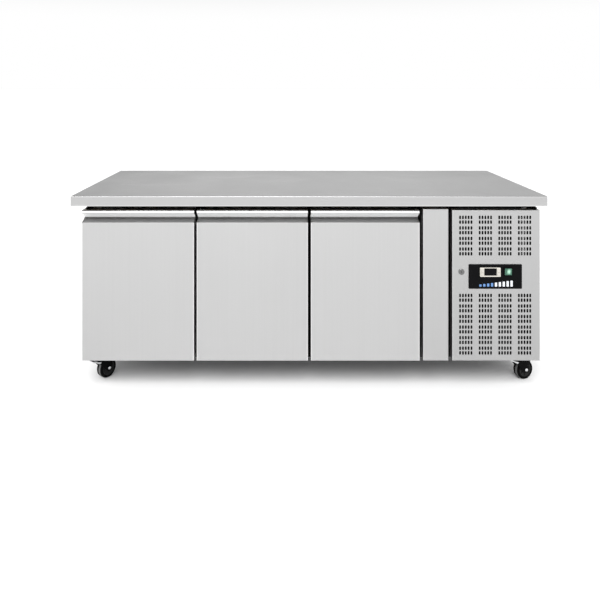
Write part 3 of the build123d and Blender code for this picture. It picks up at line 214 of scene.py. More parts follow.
def worktop_painted_light(surface):
    """Painted shade towards the ends and the back of the top and on the front face, a painted
    highlight along the front arris with painted shade on its uppermost strip, and a painted
    highlight along the foot.
    """
    low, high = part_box("worktop_skin")
    x, y, z = (surface.along(axis) for axis in "XYZ")
    near, far = END_FADE
    # painted shade towards the ends and the back of the top
    left = surface.spread(x, low.x + near, low.x + far, LEFT_END_SHADE, 0.0)
    right = surface.spread(x, high.x - far, high.x - near, 0.0, RIGHT_END_SHADE)
    back = surface.spread(y, high.y - BACK_FADE, high.y, 0.0, BACK_SHADE)
    upper = surface.spread(z, high.z - 1.2 * MM, high.z - 0.4 * MM, *UNIT)
    ends = surface.sum(surface.sum(surface.sum(left, right), back), upper, TIMES)
    # painted shade on the front face
    front = surface.spread(y, low.y + 0.2 * MM, low.y + 1.6 * MM, FRONT_SHADE, 0.0)
    # painted highlight along the front arris
    rim = surface.spread(z, high.z - 4.5 * MM, high.z - 2 * MM, *UNIT)
    nose = surface.spread(y, low.y + 0.8 * MM, low.y + 2 * MM, *FALLING)
    arris = surface.sum(surface.sum(rim, nose, TIMES), ARRIS_HIGHLIGHT, TIMES)
    # painted shade on the arris's uppermost strip
    curl = surface.spread(z, high.z - 1.7 * MM, high.z - 1.3 * MM, *UNIT)
    bend = surface.spread(y, low.y + 1.4 * MM, low.y + 1.8 * MM, *FALLING)
    wear_and_shade = surface.sum(surface.sum(curl, bend, TIMES), ARRIS_SHADE, TIMES)
    # painted highlight along the foot
    heel = surface.spread(z, low.z + 3 * MM, low.z + 6 * MM, FOOT_HIGHLIGHT, 0.0)
    return surface.sum(surface.sum(ends, front), surface.sum(surface.sum(arris, wear_and_shade), heel))


def door_painted_light(door):
    """A little painted shade towards the foot of the door, a little painted light towards its top,
    and a painted highlight along its folded sides.
    """
    low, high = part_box(f"{door}_skin")

    def tint(surface):
        x = surface.along("X")
        slope = surface.spread(surface.along("Z"), low.z, high.z, *DOOR_SHADE_AND_LIGHT)
        left = surface.spread(x, low.x + 3 * MM, low.x + 4.2 * MM, FOLD_HIGHLIGHT, 0.0)
        right = surface.spread(x, high.x - 4.2 * MM, high.x - 3 * MM, 0.0, FOLD_HIGHLIGHT)
        return surface.sum(slope, surface.sum(left, right))

    return tint


def lip_painted_shade(surface):
    """Painted shade on the lip's top edge, where the worktop shades it."""
    _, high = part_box("door_1_skin")
    return surface.spread(surface.along("Z"), high.z - 3 * MM, high.z - 2.2 * MM, 0.0, LIP_SHADE)


def panel_painted_light(name, foot, top):
    """A painted tone for a sheet's foot and one for its top, a painted highlight along its left
    fold, and painted shade on its last strip, which the worktop shades.
    """
    low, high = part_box(name)

    def tint(surface):
        x, z = surface.along("X"), surface.along("Z")
        slope = surface.spread(z, low.z, high.z, foot, top)
        left = surface.spread(x, low.x + 2.2 * MM, low.x + 3.4 * MM, PANEL_FOLD_HIGHLIGHT, 0.0)
        strip = surface.spread(z, high.z - 0.5 * MM, high.z - 0.1 * MM, 0.0, STRIP_SHADE)
        return surface.sum(surface.sum(slope, left), strip)

    return tint


def matt_flange(surface, name):
    """The flange on top of a front panel, which is blasted and keeps no clear reflection."""
    _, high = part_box(name)
    depth = surface.spread(surface.along("Z"), high.z - 1.2 * MM, high.z - 0.6 * MM, *FALLING)
    surface.link(depth, surface.shader.inputs["Metallic"])


def shaded_groove_steel(name):
    """The groove's lower slope, with painted shade that is darkest at its root."""
    low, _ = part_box("door_1_skin")
    surface = Surface(name, (0.3, 0.3, 0.3), 0.45, metallic=1.0)
    streak = surface.noise(STREAK_OF_GROOVE, 4.0, 0.65)
    depth = surface.spread(surface.along("Y"), low.y + 1 * MM, low.y + 36 * MM, *UNIT)
    shade = surface.sum(depth, surface.spread(streak, *NOISE, -0.03, 0.03))
    surface.colour(surface.blend(shade, (0.32, 0.32, 0.32), (0.1, 0.1, 0.1)))
    surface.rough(surface.spread(streak, *NOISE, 0.42, 0.48))
    surface.bump(streak, 0.00002, 0.5)
    return surface.material


def lit_satin_steel(name):
    """The groove's upper slope, blasted to a soft satin, with painted light that is brightest at
    its root.
    """
    low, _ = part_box("door_1_skin")
    surface = Surface(name, (0.7, 0.7, 0.7), 0.5, Specular_IOR_Level=0.1)
    streak = surface.noise(STREAK_OF_GROOVE, 4.0, 0.65)
    depth = surface.spread(surface.along("Y"), low.y + 1 * MM, low.y + 20 * MM, *UNIT)
    shade = surface.sum(depth, surface.spread(streak, *NOISE, -0.02, 0.02))
    surface.colour(surface.blend(shade, (0.42, 0.42, 0.42), (0.98, 0.98, 0.98)))
    surface.rough(surface.spread(streak, *NOISE, 0.46, 0.54))
    surface.bump(streak, 0.00001, 0.4)
    return surface.material


def galvanised(name, colour):
    """Zinc-coated sheet with a faint spangle."""
    surface = Surface(name, colour, 0.42, metallic=0.9)
    spangle = surface.cells((90.0, 90.0, 90.0), "F1")
    cloud = surface.noise((14.0, 14.0, 14.0), 3.0)
    tone = surface.spread(surface.sum(spangle, cloud), 0.4, 1.3, *UNIT)
    surface.colour(surface.blend(tone, shades(colour, 0.82), shades(colour, 1.08)))
    surface.rough(surface.spread(spangle, 0.0, 0.9, 0.34, 0.55))
    surface.bump(cloud, 0.0003, 0.3)
    return surface.material


def plated_nut():
    """Plated like the bolts, with its upper half lit and its lower half in the fork's shade."""
    surface = Surface("nut_zinc", (0.72, 0.73, 0.74), 0.3, metallic=1.0)
    scratch = surface.noise((300.0, 300.0, 300.0), 3.0, 0.6)
    height = surface.spread(surface.along("Z"), 34.5 * MM, 39.5 * MM, *UNIT)
    tone = surface.sum(height, surface.spread(scratch, *NOISE, -0.06, 0.06))
    surface.colour(surface.blend(tone, (0.16, 0.16, 0.165), (0.86, 0.87, 0.88)))
    surface.rough(surface.spread(scratch, *NOISE, 0.24, 0.4))
    return surface.material


def moulded(name, colour, roughness, grain=1400.0, depth=0.00008, cloudy=1.0, **constants):
    """Moulded plastic with a fine leathery grain and slight unevenness."""
    surface = Surface(name, colour, roughness, **constants)
    speck = surface.noise((grain, grain, grain), 2.0, 0.6)
    cloud = surface.noise((22.0, 22.0, 22.0), 3.0)
    tone = surface.spread(cloud, *NOISE, *UNIT)
    dark, pale = shades(colour, 1 - 0.12 * cloudy), shades(colour, 1 + 0.1 * cloudy)
    surface.colour(surface.blend(tone, dark, pale))
    uneven = surface.sum(speck, cloud)
    surface.rough(surface.spread(uneven, 0.6, 1.4, roughness - 0.07, roughness + 0.09))
    surface.bump(speck, depth, 0.5)
    return surface.material


def rubber(name, colour, dusty=2.4):
    """Black rubber, dustier in patches, with a scuffed grain."""
    surface = Surface(name, colour, 0.6, Specular_IOR_Level=0.03)
    dust = surface.noise((45.0, 45.0, 45.0), 4.0, 0.6)
    speck = surface.noise((900.0, 900.0, 900.0), 2.0)
    tone = surface.spread(dust, 0.42, 0.75, *UNIT)
    surface.colour(surface.blend(tone, colour, shades(colour, dusty)))
    surface.rough(surface.spread(dust, *NOISE, 0.5, 0.75))
    surface.bump(speck, 0.0001, 0.5)
    return surface.material


def enamel(name, colour, roughness=0.3, gloss=0.2, wear_and_shade=(0.3, 0.3, 0.29)):
    """Stove enamel with orange peel, and thin wear on outer edges."""
    surface = Surface(name, colour, roughness, Specular_IOR_Level=gloss)
    peel = surface.noise((260.0, 260.0, 260.0), 2.0)
    chips = surface.noise((130.0, 130.0, 130.0), 4.0, 0.7)
    edge = surface.spread(surface.pointiness(), 0.53, 0.62, *UNIT)
    wear = surface.sum(edge, surface.spread(chips, 0.5, 0.62, *UNIT), TIMES)
    tone = surface.spread(wear, 0.0, 1.0, 0.0, 0.6)
    surface.colour(surface.blend(tone, colour, wear_and_shade))
    surface.rough(surface.spread(peel, *NOISE, roughness - 0.05, roughness + 0.1))
    surface.bump(peel, 0.0002, 0.25)
    return surface.material


def polished(name, colour, roughness):
    """Plated metal with hairline scratches."""
    surface = Surface(name, colour, roughness, metallic=1.0)
    hair = surface.noise((900.0, 300.0, 900.0), 3.0, 0.7, 1.2)
    cloud = surface.noise((60.0, 60.0, 60.0), 2.0)
    tone = surface.spread(cloud, *NOISE, *UNIT)
    surface.colour(surface.blend(tone, shades(colour, 0.85), colour))
    surface.rough(surface.spread(hair, *NOISE, roughness - 0.06, roughness + 0.1))
    surface.bump(hair, 0.00004, 0.4)
    return surface.material


def highlit_lens(name):
    """The rocker's clear green cap, with a painted highlight a little above and to the right of
    its middle.
    """
    low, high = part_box("rocker")
    surface = Surface(name, (0.05, 0.16, 0.11), 0.2, Specular_IOR_Level=0.4)
    speck = surface.noise((160.0, 160.0, 160.0), 3.0)
    x, z = surface.along("X"), surface.along("Z")
    mid_x, mid_z = low.x * 0.42 + high.x * 0.58, low.z * 0.45 + high.z * 0.55
    across = surface.sum(surface.sum(x, -mid_x), 0.0, "ABSOLUTE")
    above = surface.sum(surface.sum(z, -mid_z), 0.0, "ABSOLUTE")
    near_x = surface.spread(across, 0.0, 9 * MM, *FALLING)
    near_z = surface.spread(above, 0.0, 12 * MM, *FALLING)
    cloudy = surface.spread(speck, *NOISE, -0.08, 0.08)
    # The painted highlight, brightest above and right of the middle.
    lamp = surface.sum(surface.sum(near_x, near_z, TIMES), cloudy)
    painted_glint = surface.spread(lamp, 0.0, 0.7, *UNIT)
    surface.colour(surface.blend(painted_glint, (0.03, 0.10, 0.065), (0.36, 0.62, 0.47)))
    surface.rough(surface.spread(speck, *NOISE, 0.16, 0.26))
    surface.bump(speck, 0.00004, 0.3)
    return surface.material


steel_doors = {
    door: brushed_steel(f"steel_{door}", (0.51, 0.51, 0.51), "Z", tint=door_painted_light(door))
    for door in DOORS
}
# A brighter copy of the door steel, as a painted highlight on the doors' rounded side edges.
steel_edge_highlight = brushed_steel("steel_edge_highlight", (0.95, 0.95, 0.95), "Z", 0.25)
# A brighter copy of the door steel, as a painted highlight on the lip, with painted shade on its
# top edge.
steel_lip_highlight_and_shade = brushed_steel("steel_lip_highlight_and_shade", (0.88, 0.88, 0.88), "X", 0.26, tint=lip_painted_shade)
steel_side = brushed_steel("steel_side", (0.46, 0.46, 0.46), "Z")
# Both front panels take painted shade at the foot and painted light at the top.
steel_filler = brushed_steel(
    "steel_filler", (0.46, 0.46, 0.46), "Z",
    tint=panel_painted_light("filler_panel", -0.03, 0.12), flange="filler_panel",
)
steel_panel = brushed_steel(
    "steel_panel", (0.43, 0.43, 0.43), "Z",
    tint=panel_painted_light("service_panel", -0.03, 0.13), flange="service_panel",
)
steel_top = brushed_steel("steel_top", (0.615, 0.615, 0.615), "X", 0.3, tint=worktop_painted_light)
steel_inside = brushed_steel("steel_inside", (0.6, 0.6, 0.6), "Y", 0.42)
groove_painted_light = lit_satin_steel("groove_painted_light")
groove_painted_shade = shaded_groove_steel("groove_painted_shade")
zinc_sheet = galvanised("zinc_sheet", (0.55, 0.56, 0.57))
# A dark copy of the galvanised sheet for the base pan, as painted shade under the unit.
zinc_shade = galvanised("zinc_shade", (0.16, 0.16, 0.165))
nut_zinc = plated_nut()
zinc_bright = polished("zinc_bright", (0.72, 0.73, 0.74), 0.3)
lock_metal = polished("lock_metal", (0.2, 0.2, 0.2), 0.35)
copper = polished("copper", (0.72, 0.36, 0.22), 0.32)
black_enamel = enamel("black_enamel", (0.004, 0.004, 0.0042))
black_plastic = moulded("black_plastic", (0.003, 0.003, 0.0034), 0.3, Specular_IOR_Level=0.05)
# Plastic on the door frame, made near-black as painted shade for the gaps between the doors.
frame_plastic_gap_shade = moulded("frame_plastic_gap_shade", (0.002, 0.002, 0.002), 0.6, Specular_IOR_Level=0.02)
# Near-black enamel on the hinge brackets and the machine room's frames, as painted shade in the
# door gaps and the machine room.
frame_enamel_shade = enamel("frame_enamel_shade", (0.002, 0.002, 0.002), 0.5, 0.02, (0.02, 0.02, 0.02))
fork_enamel = enamel("fork_enamel", (0.0015, 0.0015, 0.0016), 0.35, 0.04, (0.05, 0.05, 0.05))
white_abs = moulded("white_abs", (0.74, 0.74, 0.72), 0.38, cloudy=0.2)
grey_abs = moulded("grey_abs", (0.50, 0.48, 0.43), 0.4, cloudy=0.4)
key_abs = moulded("key_abs", (0.44, 0.42, 0.38), 0.45)
gasket_rubber = moulded("gasket_rubber", (0.03, 0.03, 0.032), 0.55, 500.0, 0.0002)
tyre_rubber = rubber("tyre_rubber", (0.002, 0.002, 0.002))
tread_rubber = rubber("tread_rubber", (0.13, 0.13, 0.13), 1.25)
hub_plastic = moulded("hub_plastic", (0.02, 0.02, 0.02), 0.38, Specular_IOR_Level=0.1)
green_lens = highlit_lens("green_lens")
display_glass = moulded(
    "display_glass", (0.002, 0.0017, 0.002), 0.1, 200.0, 0.00001, Specular_IOR_Level=0.1,
)
fan_plastic = moulded("fan_plastic", (0.03, 0.03, 0.03), 0.4)
fin_black = enamel("fin_black", (0.016, 0.016, 0.017), 0.5, 0.2, (0.05, 0.05, 0.05))
fin_aluminium = galvanised("fin_aluminium", (0.6, 0.61, 0.62))
wire_coat = moulded("wire_coat", (0.62, 0.63, 0.62), 0.3, 700.0, 0.0001)
board = moulded("board", (0.35, 0.26, 0.17), 0.7, 300.0, 0.0004)
foam_yellow = moulded("foam_yellow", (0.62, 0.52, 0.28), 0.8, 600.0, 0.0005)
mark_blue = moulded("mark_blue", (0.09, 0.20, 0.42), 0.4)
mark_white = moulded("mark_white", (0.62, 0.65, 0.68), 0.4)

CAD_MATERIALS = {
    "worktop_skin": steel_top,
    "worktop_core": board,
    "left_side_panel": steel_side,
    "right_side_panel": steel_side,
    "back_panel": zinc_sheet,
    "base_pan": zinc_shade,
    "rear_grille": zinc_sheet,
    "insulation": foam_yellow,
    "inner_liner": steel_inside,
    "front_frame": frame_plastic_gap_shade,
    "machine_frame": frame_enamel_shade,
    "filler_panel": steel_filler,
    "hinge_brackets": frame_enamel_shade,
    "service_panel": steel_panel,
    "control_plate": black_plastic,
    "thermostat": grey_abs,
    "rocker": green_lens,
    "lock_barrel": lock_metal,
    "lock_plug": lock_metal,
    "shelf_supports": steel_inside,
    "wire_shelves": wire_coat,
    "evaporator_coil": fin_aluminium,
    "evaporator_cover": steel_inside,
    "evaporator_fan": fan_plastic,
    "evaporator_fan_motor": black_enamel,
    # The base plate takes black enamel as painted shade for the machine room.
    "machine_base_plate": black_enamel,
    "compressor": black_enamel,
    "condenser_coil": fin_black,
    "condenser_shroud": frame_enamel_shade,
    "condenser_fan": fan_plastic,
    "refrigerant_pipes": copper,
    "cable_gland": black_plastic,
    "caster_plates": zinc_bright,
    "caster_bolts": zinc_bright,
}
for corner in CASTERS:
    CAD_MATERIALS[f"{corner}_fork"] = fork_enamel
    CAD_MATERIALS[f"{corner}_wheel"] = tyre_rubber
for corner in CASTERS[:2]:
    CAD_MATERIALS[f"{corner}_pedal"] = zinc_bright
for door in DOORS:
    CAD_MATERIALS[f"{door}_skin"] = steel_doors[door]
    CAD_MATERIALS[f"{door}_foam"] = foam_yellow
    CAD_MATERIALS[f"{door}_liner"] = white_abs
    CAD_MATERIALS[f"{door}_gasket"] = gasket_rubber
for key in [name for name in nodes if name.startswith("key_")]:
    CAD_MATERIALS[key] = key_abs


def soften(obj, width, segments=2, angle=40):
    """Rounds an object's sharp edges a little."""
    bevel = obj.modifiers.new("Edges", "BEVEL")
    bevel.width = width
    bevel.segments = segments
    bevel.limit_method = "ANGLE"
    bevel.angle_limit = math.radians(angle)
    bevel.harden_normals = False
    bevel.use_clamp_overlap = True


def smooth_shading(mesh, angle=35):
    """Smooth faces, with creases kept where faces meet at more than the angle."""
    form = bmesh.new()
    form.from_mesh(mesh)
    for face in form.faces:
        face.smooth = True
    for edge in form.edges:
        if len(edge.link_faces) == 2:
            edge.smooth = edge.calc_face_angle(0) < math.radians(angle)
    form.to_mesh(mesh)
    form.free()


for name, material in CAD_MATERIALS.items():
    mesh = nodes[name].data
    mesh.materials.clear()
    mesh.materials.append(material)

# The partition's foam takes black on the faces that look right, towards the machine room, as
# painted shade for the machine room.
partition = nodes["insulation"].data
partition.materials.append(black_plastic)
for face in partition.polygons:
    face.material_index = int(face.normal.x > 0.9)


# ---------------------------------------------------------------- building pieces
def piece(name, points, faces, material, body, smooth=35):
    """A mesh object that rides on a body and takes its finish from a slot."""
    mesh = bpy.data.meshes.new(name)
    mesh.from_pydata([tuple(point) for point in points], [], faces)
    mesh.validate()
    form = bmesh.new()
    form.from_mesh(mesh)
    bmesh.ops.recalc_face_normals(form, faces=form.faces)
    form.to_mesh(mesh)
    form.free()
    smooth_shading(mesh, smooth)
    mesh.materials.append(material)
    obj = bpy.data.objects.new(name, mesh)
    bpy.context.scene.collection.objects.link(obj)
    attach(obj, body)
    return obj


def rounded_outline(corners, steps=5):
    """A closed outline from (x, y, radius) corners, with an arc at each."""
    outline = []
    count = len(corners)
    for index, (x, y, radius) in enumerate(corners):
        here = Vector((x, y))
        before = Vector(corners[index - 1][:2]) - here
        after = Vector(corners[(index + 1) % count][:2]) - here
        if radius <= 0:
            outline.append(here)
            continue
        half = before.angle(after) / 2
        reach = radius / math.tan(half)
        start = here + before.normalized() * reach
        bisector = (before.normalized() + after.normalized()).normalized()
        centre = here + bisector * (radius / math.sin(half))
        first = start - centre
        last = here + after.normalized() * reach - centre
        sweep = math.atan2(first.x * last.y - first.y * last.x, first.dot(last))
        for step in range(steps + 1):
            turn = Matrix.Rotation(sweep * step / steps, 2)
            outline.append(centre + turn @ first)
    return outline


def inset_outline(outline, amount):
    """The outline moved inwards along its corner normals. It runs anticlockwise."""
    moved = []
    count = len(outline)
    for index, point in enumerate(outline):
        back = (point - outline[index - 1]).normalized()
        ahead = (outline[(index + 1) % count] - point).normalized()
        normal = Vector((-back.y - ahead.y, back.x + ahead.x))
        normal.normalize()
        scale = max(0.35, normal.dot(Vector((-back.y, back.x))))
        moved.append(point + normal * (amount / scale))
    return moved


def prism(outline, low, high, edge, steps=4):
    """Points and faces of an outline pulled from low to high, with rounded rims.
    Each point is (along, first, second)."""
    area = sum(a.x * b.y - b.x * a.y for a, b in zip(outline, outline[1:] + outline[:1]))
    if area < 0:
        outline = outline[::-1]
    rings = []
    for side, base, sign in ((0, low, 1), (1, high, -1)):
        stack = []
        for step in range(steps + 1):
            turn = math.pi / 2 * step / steps
            along = base + sign * edge * (1 - math.sin(turn))
            stack.append((along, inset_outline(outline, edge * (1 - math.cos(turn)))))
        rings += stack[::-1] if side else stack
    rings.sort(key=lambda ring: ring[0])
    points = [(along, point.x, point.y) for along, ring in rings for point in ring]
    count = len(outline)
    faces = []
    for row in range(len(rings) - 1):
        for index in range(count):
            after = (index + 1) % count
            base = row * count
            faces.append((base + index, base + after, base + count + after, base + count + index))
    faces.append(tuple(range(count))[::-1])
    last = (len(rings) - 1) * count
    faces.append(tuple(range(last, last + count)))
    return points, faces


def sweep_rectangle(profile, low, high, corner=0.0, steps=5):
    """A closed profile of (outward, depth) points carried round a rectangle in X and Z."""
    corners = [
        (low[0], low[1], corner), (high[0], low[1], corner),
        (high[0], high[1], corner), (low[0], high[1], corner),
    ]
    rings = [
        [point for point in inset_outline(rounded_outline(corners, steps), -outward)]
        for outward, _ in profile
    ]
    count = len(rings[0])
    points = [
        (ring[index].x, depth, ring[index].y)
        for index in range(count)
        for ring, (_, depth) in zip(rings, profile)
    ]
    width = len(profile)
    faces = []
    for index in range(count):
        after = (index + 1) % count
        for side in range(width):
            beside = (side + 1) % width
            start, end = index * width, after * width
            faces.append((start + side, end + side, end + beside, start + beside))
    return points, faces


def lathe(profile, steps, origin, axis, closed=False):
    """(along, radius) points turned about an axis through a point."""
    axis = Vector(axis).normalized()
    side = axis.orthogonal().normalized()
    up = axis.cross(side)
    points = []
    for step in range(steps):
        turn = 2 * math.pi * step / steps
        out = side * math.cos(turn) + up * math.sin(turn)
        points += [Vector(origin) + axis * along + out * radius for along, radius in profile]
    width = len(profile)
    faces = []
    for step in range(steps):
        after = (step + 1) % steps
        for row in range(width if closed else width - 1):
            beside = (row + 1) % width
            start, end = step * width, after * width
            faces.append((start + row, end + row, end + beside, start + beside))
    return points, faces


# ---------------------------------------------------------------- doors
GROOVE_BOTTOM = 646 * MM
GROOVE_APEX = 660 * MM
GROOVE_TOP = 682 * MM
GROOVE_DEPTH = 38 * MM
BELLOWS = [
    (-1.2, 0.0), (-1.2, 0.2), (0.0, 0.34), (-1.6, 0.5), (0.0, 0.68), (-0.4, 0.94), (-2.0, 1.0),
    (-12.0, 1.0), (-13.6, 0.94), (-14.0, 0.68), (-12.4, 0.5), (-14.0, 0.34), (-12.8, 0.2),
    (-12.8, 0.0),
]
DOOR_EDGE = 1.6 * MM
DOOR_FOOT = 0.8 * MM
LIP_SLOPE = 4.5 * MM
LIP_ROUND = 3.0 * MM
LIP_FOOT = 1.7 * MM
ROOT_ROUND = 4.0 * MM
SHELL_RIM = 0.9 * MM
# The shell's material slots, and how far a face's normal leans before it takes one.
# The lip and edge slots hold brighter steel as painted highlights, the roof slot painted light,
# and the slope slot painted shade.
FACE, LIP, ROOF, SLOPE, EDGE = range(5)
END_LEAN = 0.95
EDGE_LEAN = 0.25
LIP_TOP_LEAN = 0.78
SLOPE_LEAN = 0.2


def door_finish(centre, normal, front):
    """The material slot for a face of a door's shell."""
    if centre.y > front + GROOVE_DEPTH or abs(normal.x) > END_LEAN:
        return FACE
    if centre.z > GROOVE_TOP - 1 * MM:
        # The lip's upward faces take the slope's painted shade.
        return SLOPE if normal.z > LIP_TOP_LEAN else LIP
    sunk = normal.z > SLOPE_LEAN or centre.y > front + DOOR_FOOT
    if centre.z > GROOVE_BOTTOM - 0.5 * MM and sunk:
        return ROOF if normal.z < 0 else SLOPE
    # Rounded side edges take the brighter steel as a painted highlight.
    return EDGE if abs(normal.x) > EDGE_LEAN else FACE


def make_door(door):
    """The outer skin with its finger groove, and the gasket's bellows."""
    low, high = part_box(f"{door}_skin")
    front = low.y
    outline = rounded_outline([
        (front, low.z, DOOR_FOOT),
        (high.y, low.z, DOOR_EDGE),
        (high.y, high.z, DOOR_EDGE),
        (front + LIP_SLOPE, high.z, LIP_ROUND),
        (front, high.z - LIP_SLOPE, LIP_ROUND),
        (front, GROOVE_TOP, LIP_FOOT),
        (front + GROOVE_DEPTH, GROOVE_APEX, ROOT_ROUND),
        (front, GROOVE_BOTTOM, DOOR_FOOT),
    ])
    points, faces = prism(outline, low.x, high.x, SHELL_RIM)
    skin = piece(f"{door}_shell", points, faces, steel_doors[door], door, 50)
    for finish in (steel_lip_highlight_and_shade, groove_painted_light, groove_painted_shade, steel_edge_highlight):
        skin.data.materials.append(finish)
    for face in skin.data.polygons:
        face.material_index = door_finish(face.center, face.normal, front)
    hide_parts(f"{door}_skin", f"{door}_foam")

    low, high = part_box(f"{door}_gasket")
    depth = high.y - low.y
    profile = [(outward * MM, low.y + part * depth) for outward, part in BELLOWS]
    points, faces = sweep_rectangle(profile, (low.x, low.z), (high.x, high.z))
    seal = piece(f"{door}_seal", points, faces, gasket_rubber, door, 60)
    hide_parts(f"{door}_gasket")
    soften(nodes[f"{door}_liner"], 0.8 * MM, 3, 30)


for door in DOORS:
    make_door(door)


# ---------------------------------------------------------------- controls
ROCKER_TILT = 8
ROCKER_HALF_WIDTH = 13 * MM
ROCKER_SHAPE = [
    (-6, 13, 1.2), (-4.2, 0, 60), (-6, -13, 1.2), (4, -11.5, 1.5), (7, 0, 4), (4, 11.5, 1.5),
]
WINDOW_WIDTH = 47.6 * MM
WINDOW_HEIGHT = 27.6 * MM
WINDOW_RAISE = 1.5 * MM
WINDOW_SINK = 1.0 * MM
BAR_COUNT = 9
BAR_START = Vector((0.652, 0, 0.4035))
PLATE_THICKNESS = 2 * MM
BAR_PITCH = 14.8 * MM
BAR_WIDTH = 8.5 * MM
BAR_FIRST = 8
BAR_STEP = 1.8


def facing_prism(corners, front, back, edge):
    """An outline in X and Z, pulled from front to back in Y, with rounded rims."""
    outline = rounded_outline(corners)
    points, faces = prism(outline, front, back, edge)
    return [(x, along, z) for along, x, z in points], faces


def rectangle(centre, width, height, radius):
    """The corners of a rectangle in X and Z."""
    x, z = centre
    return [
        (x - width / 2, z - height / 2, radius), (x + width / 2, z - height / 2, radius),
        (x + width / 2, z + height / 2, radius), (x - width / 2, z + height / 2, radius),
    ]


def make_display():
    """The dark window over the thermostat's display."""
    low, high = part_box("thermostat")
    centre = ((low.x + high.x) / 2, (low.z + high.z) / 2 + WINDOW_RAISE)
    floor = low.y + WINDOW_SINK
    corners = rectangle(centre, WINDOW_WIDTH, WINDOW_HEIGHT, 1.0 * MM)
    points, faces = facing_prism(corners, floor - 0.7 * MM, floor + 0.05 * MM, 0.25 * MM)
    piece("display_window", points, faces, display_glass, "service_panel")


def make_rocker():
    """The rocker with a gently hollowed front."""
    pivot = Vector(joints["rocker_tilt"]["pos_m"])
    left, right = pivot.x - ROCKER_HALF_WIDTH, pivot.x + ROCKER_HALF_WIDTH
    turn = Matrix.Rotation(math.radians(ROCKER_TILT), 2)
    corners = []
    for y, z, radius in ROCKER_SHAPE:
        spot = turn @ Vector((y, z)) * MM
        corners.append((pivot.y + spot.x, pivot.z + spot.y, radius * MM))
    points, faces = prism(rounded_outline(corners), left, right, 0.7 * MM)
    rocker = piece("rocker_cap", points, faces, green_lens, "rocker")
    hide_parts("rocker")


def make_mark():
    """A generic mark in place of a badge: a row of rising bars, from blue to white."""
    panel_low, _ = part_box("service_panel")
    face = panel_low.y - PLATE_THICKNESS
    for index in range(BAR_COUNT):
        height = (BAR_FIRST + BAR_STEP * index) * MM
        centre = (BAR_START.x + index * BAR_PITCH, BAR_START.z + height / 2)
        material = mark_blue if index < BAR_COUNT // 2 else mark_white
        corners = rectangle(centre, BAR_WIDTH, height, 1.2 * MM)
        points, faces = facing_prism(corners, face - 0.2 * MM, face + 0.1 * MM, 0.08 * MM)
        piece(f"mark_bar_{index + 1}", points, faces, material, "service_panel")


make_display()
make_rocker()
make_mark()


# ---------------------------------------------------------------- casters
FORK_INNER = 17 * MM
FORK_OUTER = 19.5 * MM
TRAIL = 24 * MM
AXLE_HEIGHT = 37.5 * MM
LEG = [(12, 31, 8), (24, 24, 9), (35, 31, 6), (39, 57, 14), (49.5, 82, 2.5), (31, 87.7, 1)]
LEG_BRAKED = [(-24, 87.7, 1), (-32.4, 80.2, 3), (-30, 71.4, 3), (-20, 68, 8)] + LEG
LEG_PLAIN = [(-24, 87.7, 1), (-20, 70, 8)] + LEG
TYRE = [
    (-13, 27.5), (-15, 30), (-15, 33), (-14.2, 35.2), (-12.4, 36.6), (-9, 37.3), (-2, 37.5),
    (3, 37.5), (8, 37.35), (10, 37.2), (12.4, 36.6), (14.2, 35.2), (15, 33), (15, 30),
    (13, 27.5),
]
TREAD_BAND = range(6, 8)
HUB = [
    (-13, 27.8), (-13, 26), (-9, 23.5), (-7, 14), (-9, 11), (-14.4, 10), (-15, 8), (-15, 4.1),
    (15, 4.1), (15, 8), (14.4, 10), (9, 11), (7, 14), (9, 23.5), (13, 26), (13, 27.8),
]
CROWN = [(88, 5.2), (88, 24.4), (89.5, 25.4), (93, 25.4), (94.3, 24.2), (94.3, 5.2)]
CROWN_PLATE = [(-19.5, -25, 3), (19.5, -25, 3), (19.5, 29, 3), (-19.5, 29, 3)]
CROWN_LOW = 84.6 * MM
CROWN_HIGH = 88 * MM
AXLE = [(-19.5, 3.9), (19.5, 3.9)]
WASHER = [(19.5, 4.1), (19.5, 6.6), (20.4, 6.6), (20.6, 6.3), (20.6, 4.1)]
DOME = [(19.4, 4.5), (21.2, 4.4), (22.5, 3.8), (23.4, 2.4), (23.7, 0.01)]
NUT_RADIUS = 5.2 * MM
RIBS = 8
RIB_PLAN = [(10.5, -1), (24, -0.8), (24, 0.8), (10.5, 1)]
PEDAL_PIN = [(-22.2, 0.01), (-22.2, 1.6), (-21.8, 2), (21.8, 2), (22.2, 1.6), (22.2, 0.01)]
PEDAL_PIVOT = (-26, 76)
PEDAL_BEND = (-36, 83.5)
PEDAL_TIP = (-56, 92)
PEDAL_INNER = 20.2
PEDAL_OUTER = 22.2
CHEEK = [
    (-17.2, 77.3, 2), (-17.2, 73.7, 2), (-24, 71.6, 3), (-36, 79, 6),
    (-55.8, 88, 1), (-55.8, 91.8, 1), (-36, 83.4, 4), (-26, 79.8, 6),
]
PAD_RIBS = 5
PAD_RIB_START = 3.2
PAD_RIB_PITCH = 3.4
PAD_RIB_HALF = 0.8
ALONG_AXLE = (1, 0, 0)


def placed(points, caster):
    """Local points, with X along the axle and Y along the trail, moved to a caster."""
    axis = Vector(joints[f"{caster}_roll"]["axis"])
    trail = Vector((0, 0, 1)).cross(axis)
    base = Vector(joints[f"{caster}_swivel"]["pos_m"])
    origin = Vector((base.x, base.y, 0))
    return [origin + axis * x + trail * y + Vector((0, 0, z)) for x, y, z in points]


def in_metres(profile):
    """The same points, from millimetres."""
    return [tuple(value * MM for value in point) for point in profile]


def merged(*shapes):
    """Several (points, faces) shapes as one."""
    points, faces = [], []
    for more_points, more_faces in shapes:
        start = len(points)
        points += list(more_points)
        faces += [tuple(start + index for index in face) for face in more_faces]
    return points, faces


def hexagon(radius, low, high):
    """A hexagonal head about the axle."""
    corners = []
    for step in range(6):
        turn = math.pi / 3 * step
        y, z = TRAIL + radius * math.cos(turn), AXLE_HEIGHT + radius * math.sin(turn)
        corners.append((y, z, 0.3 * MM))
    return prism(rounded_outline(corners, 2), low, high, 0.7 * MM, 3)


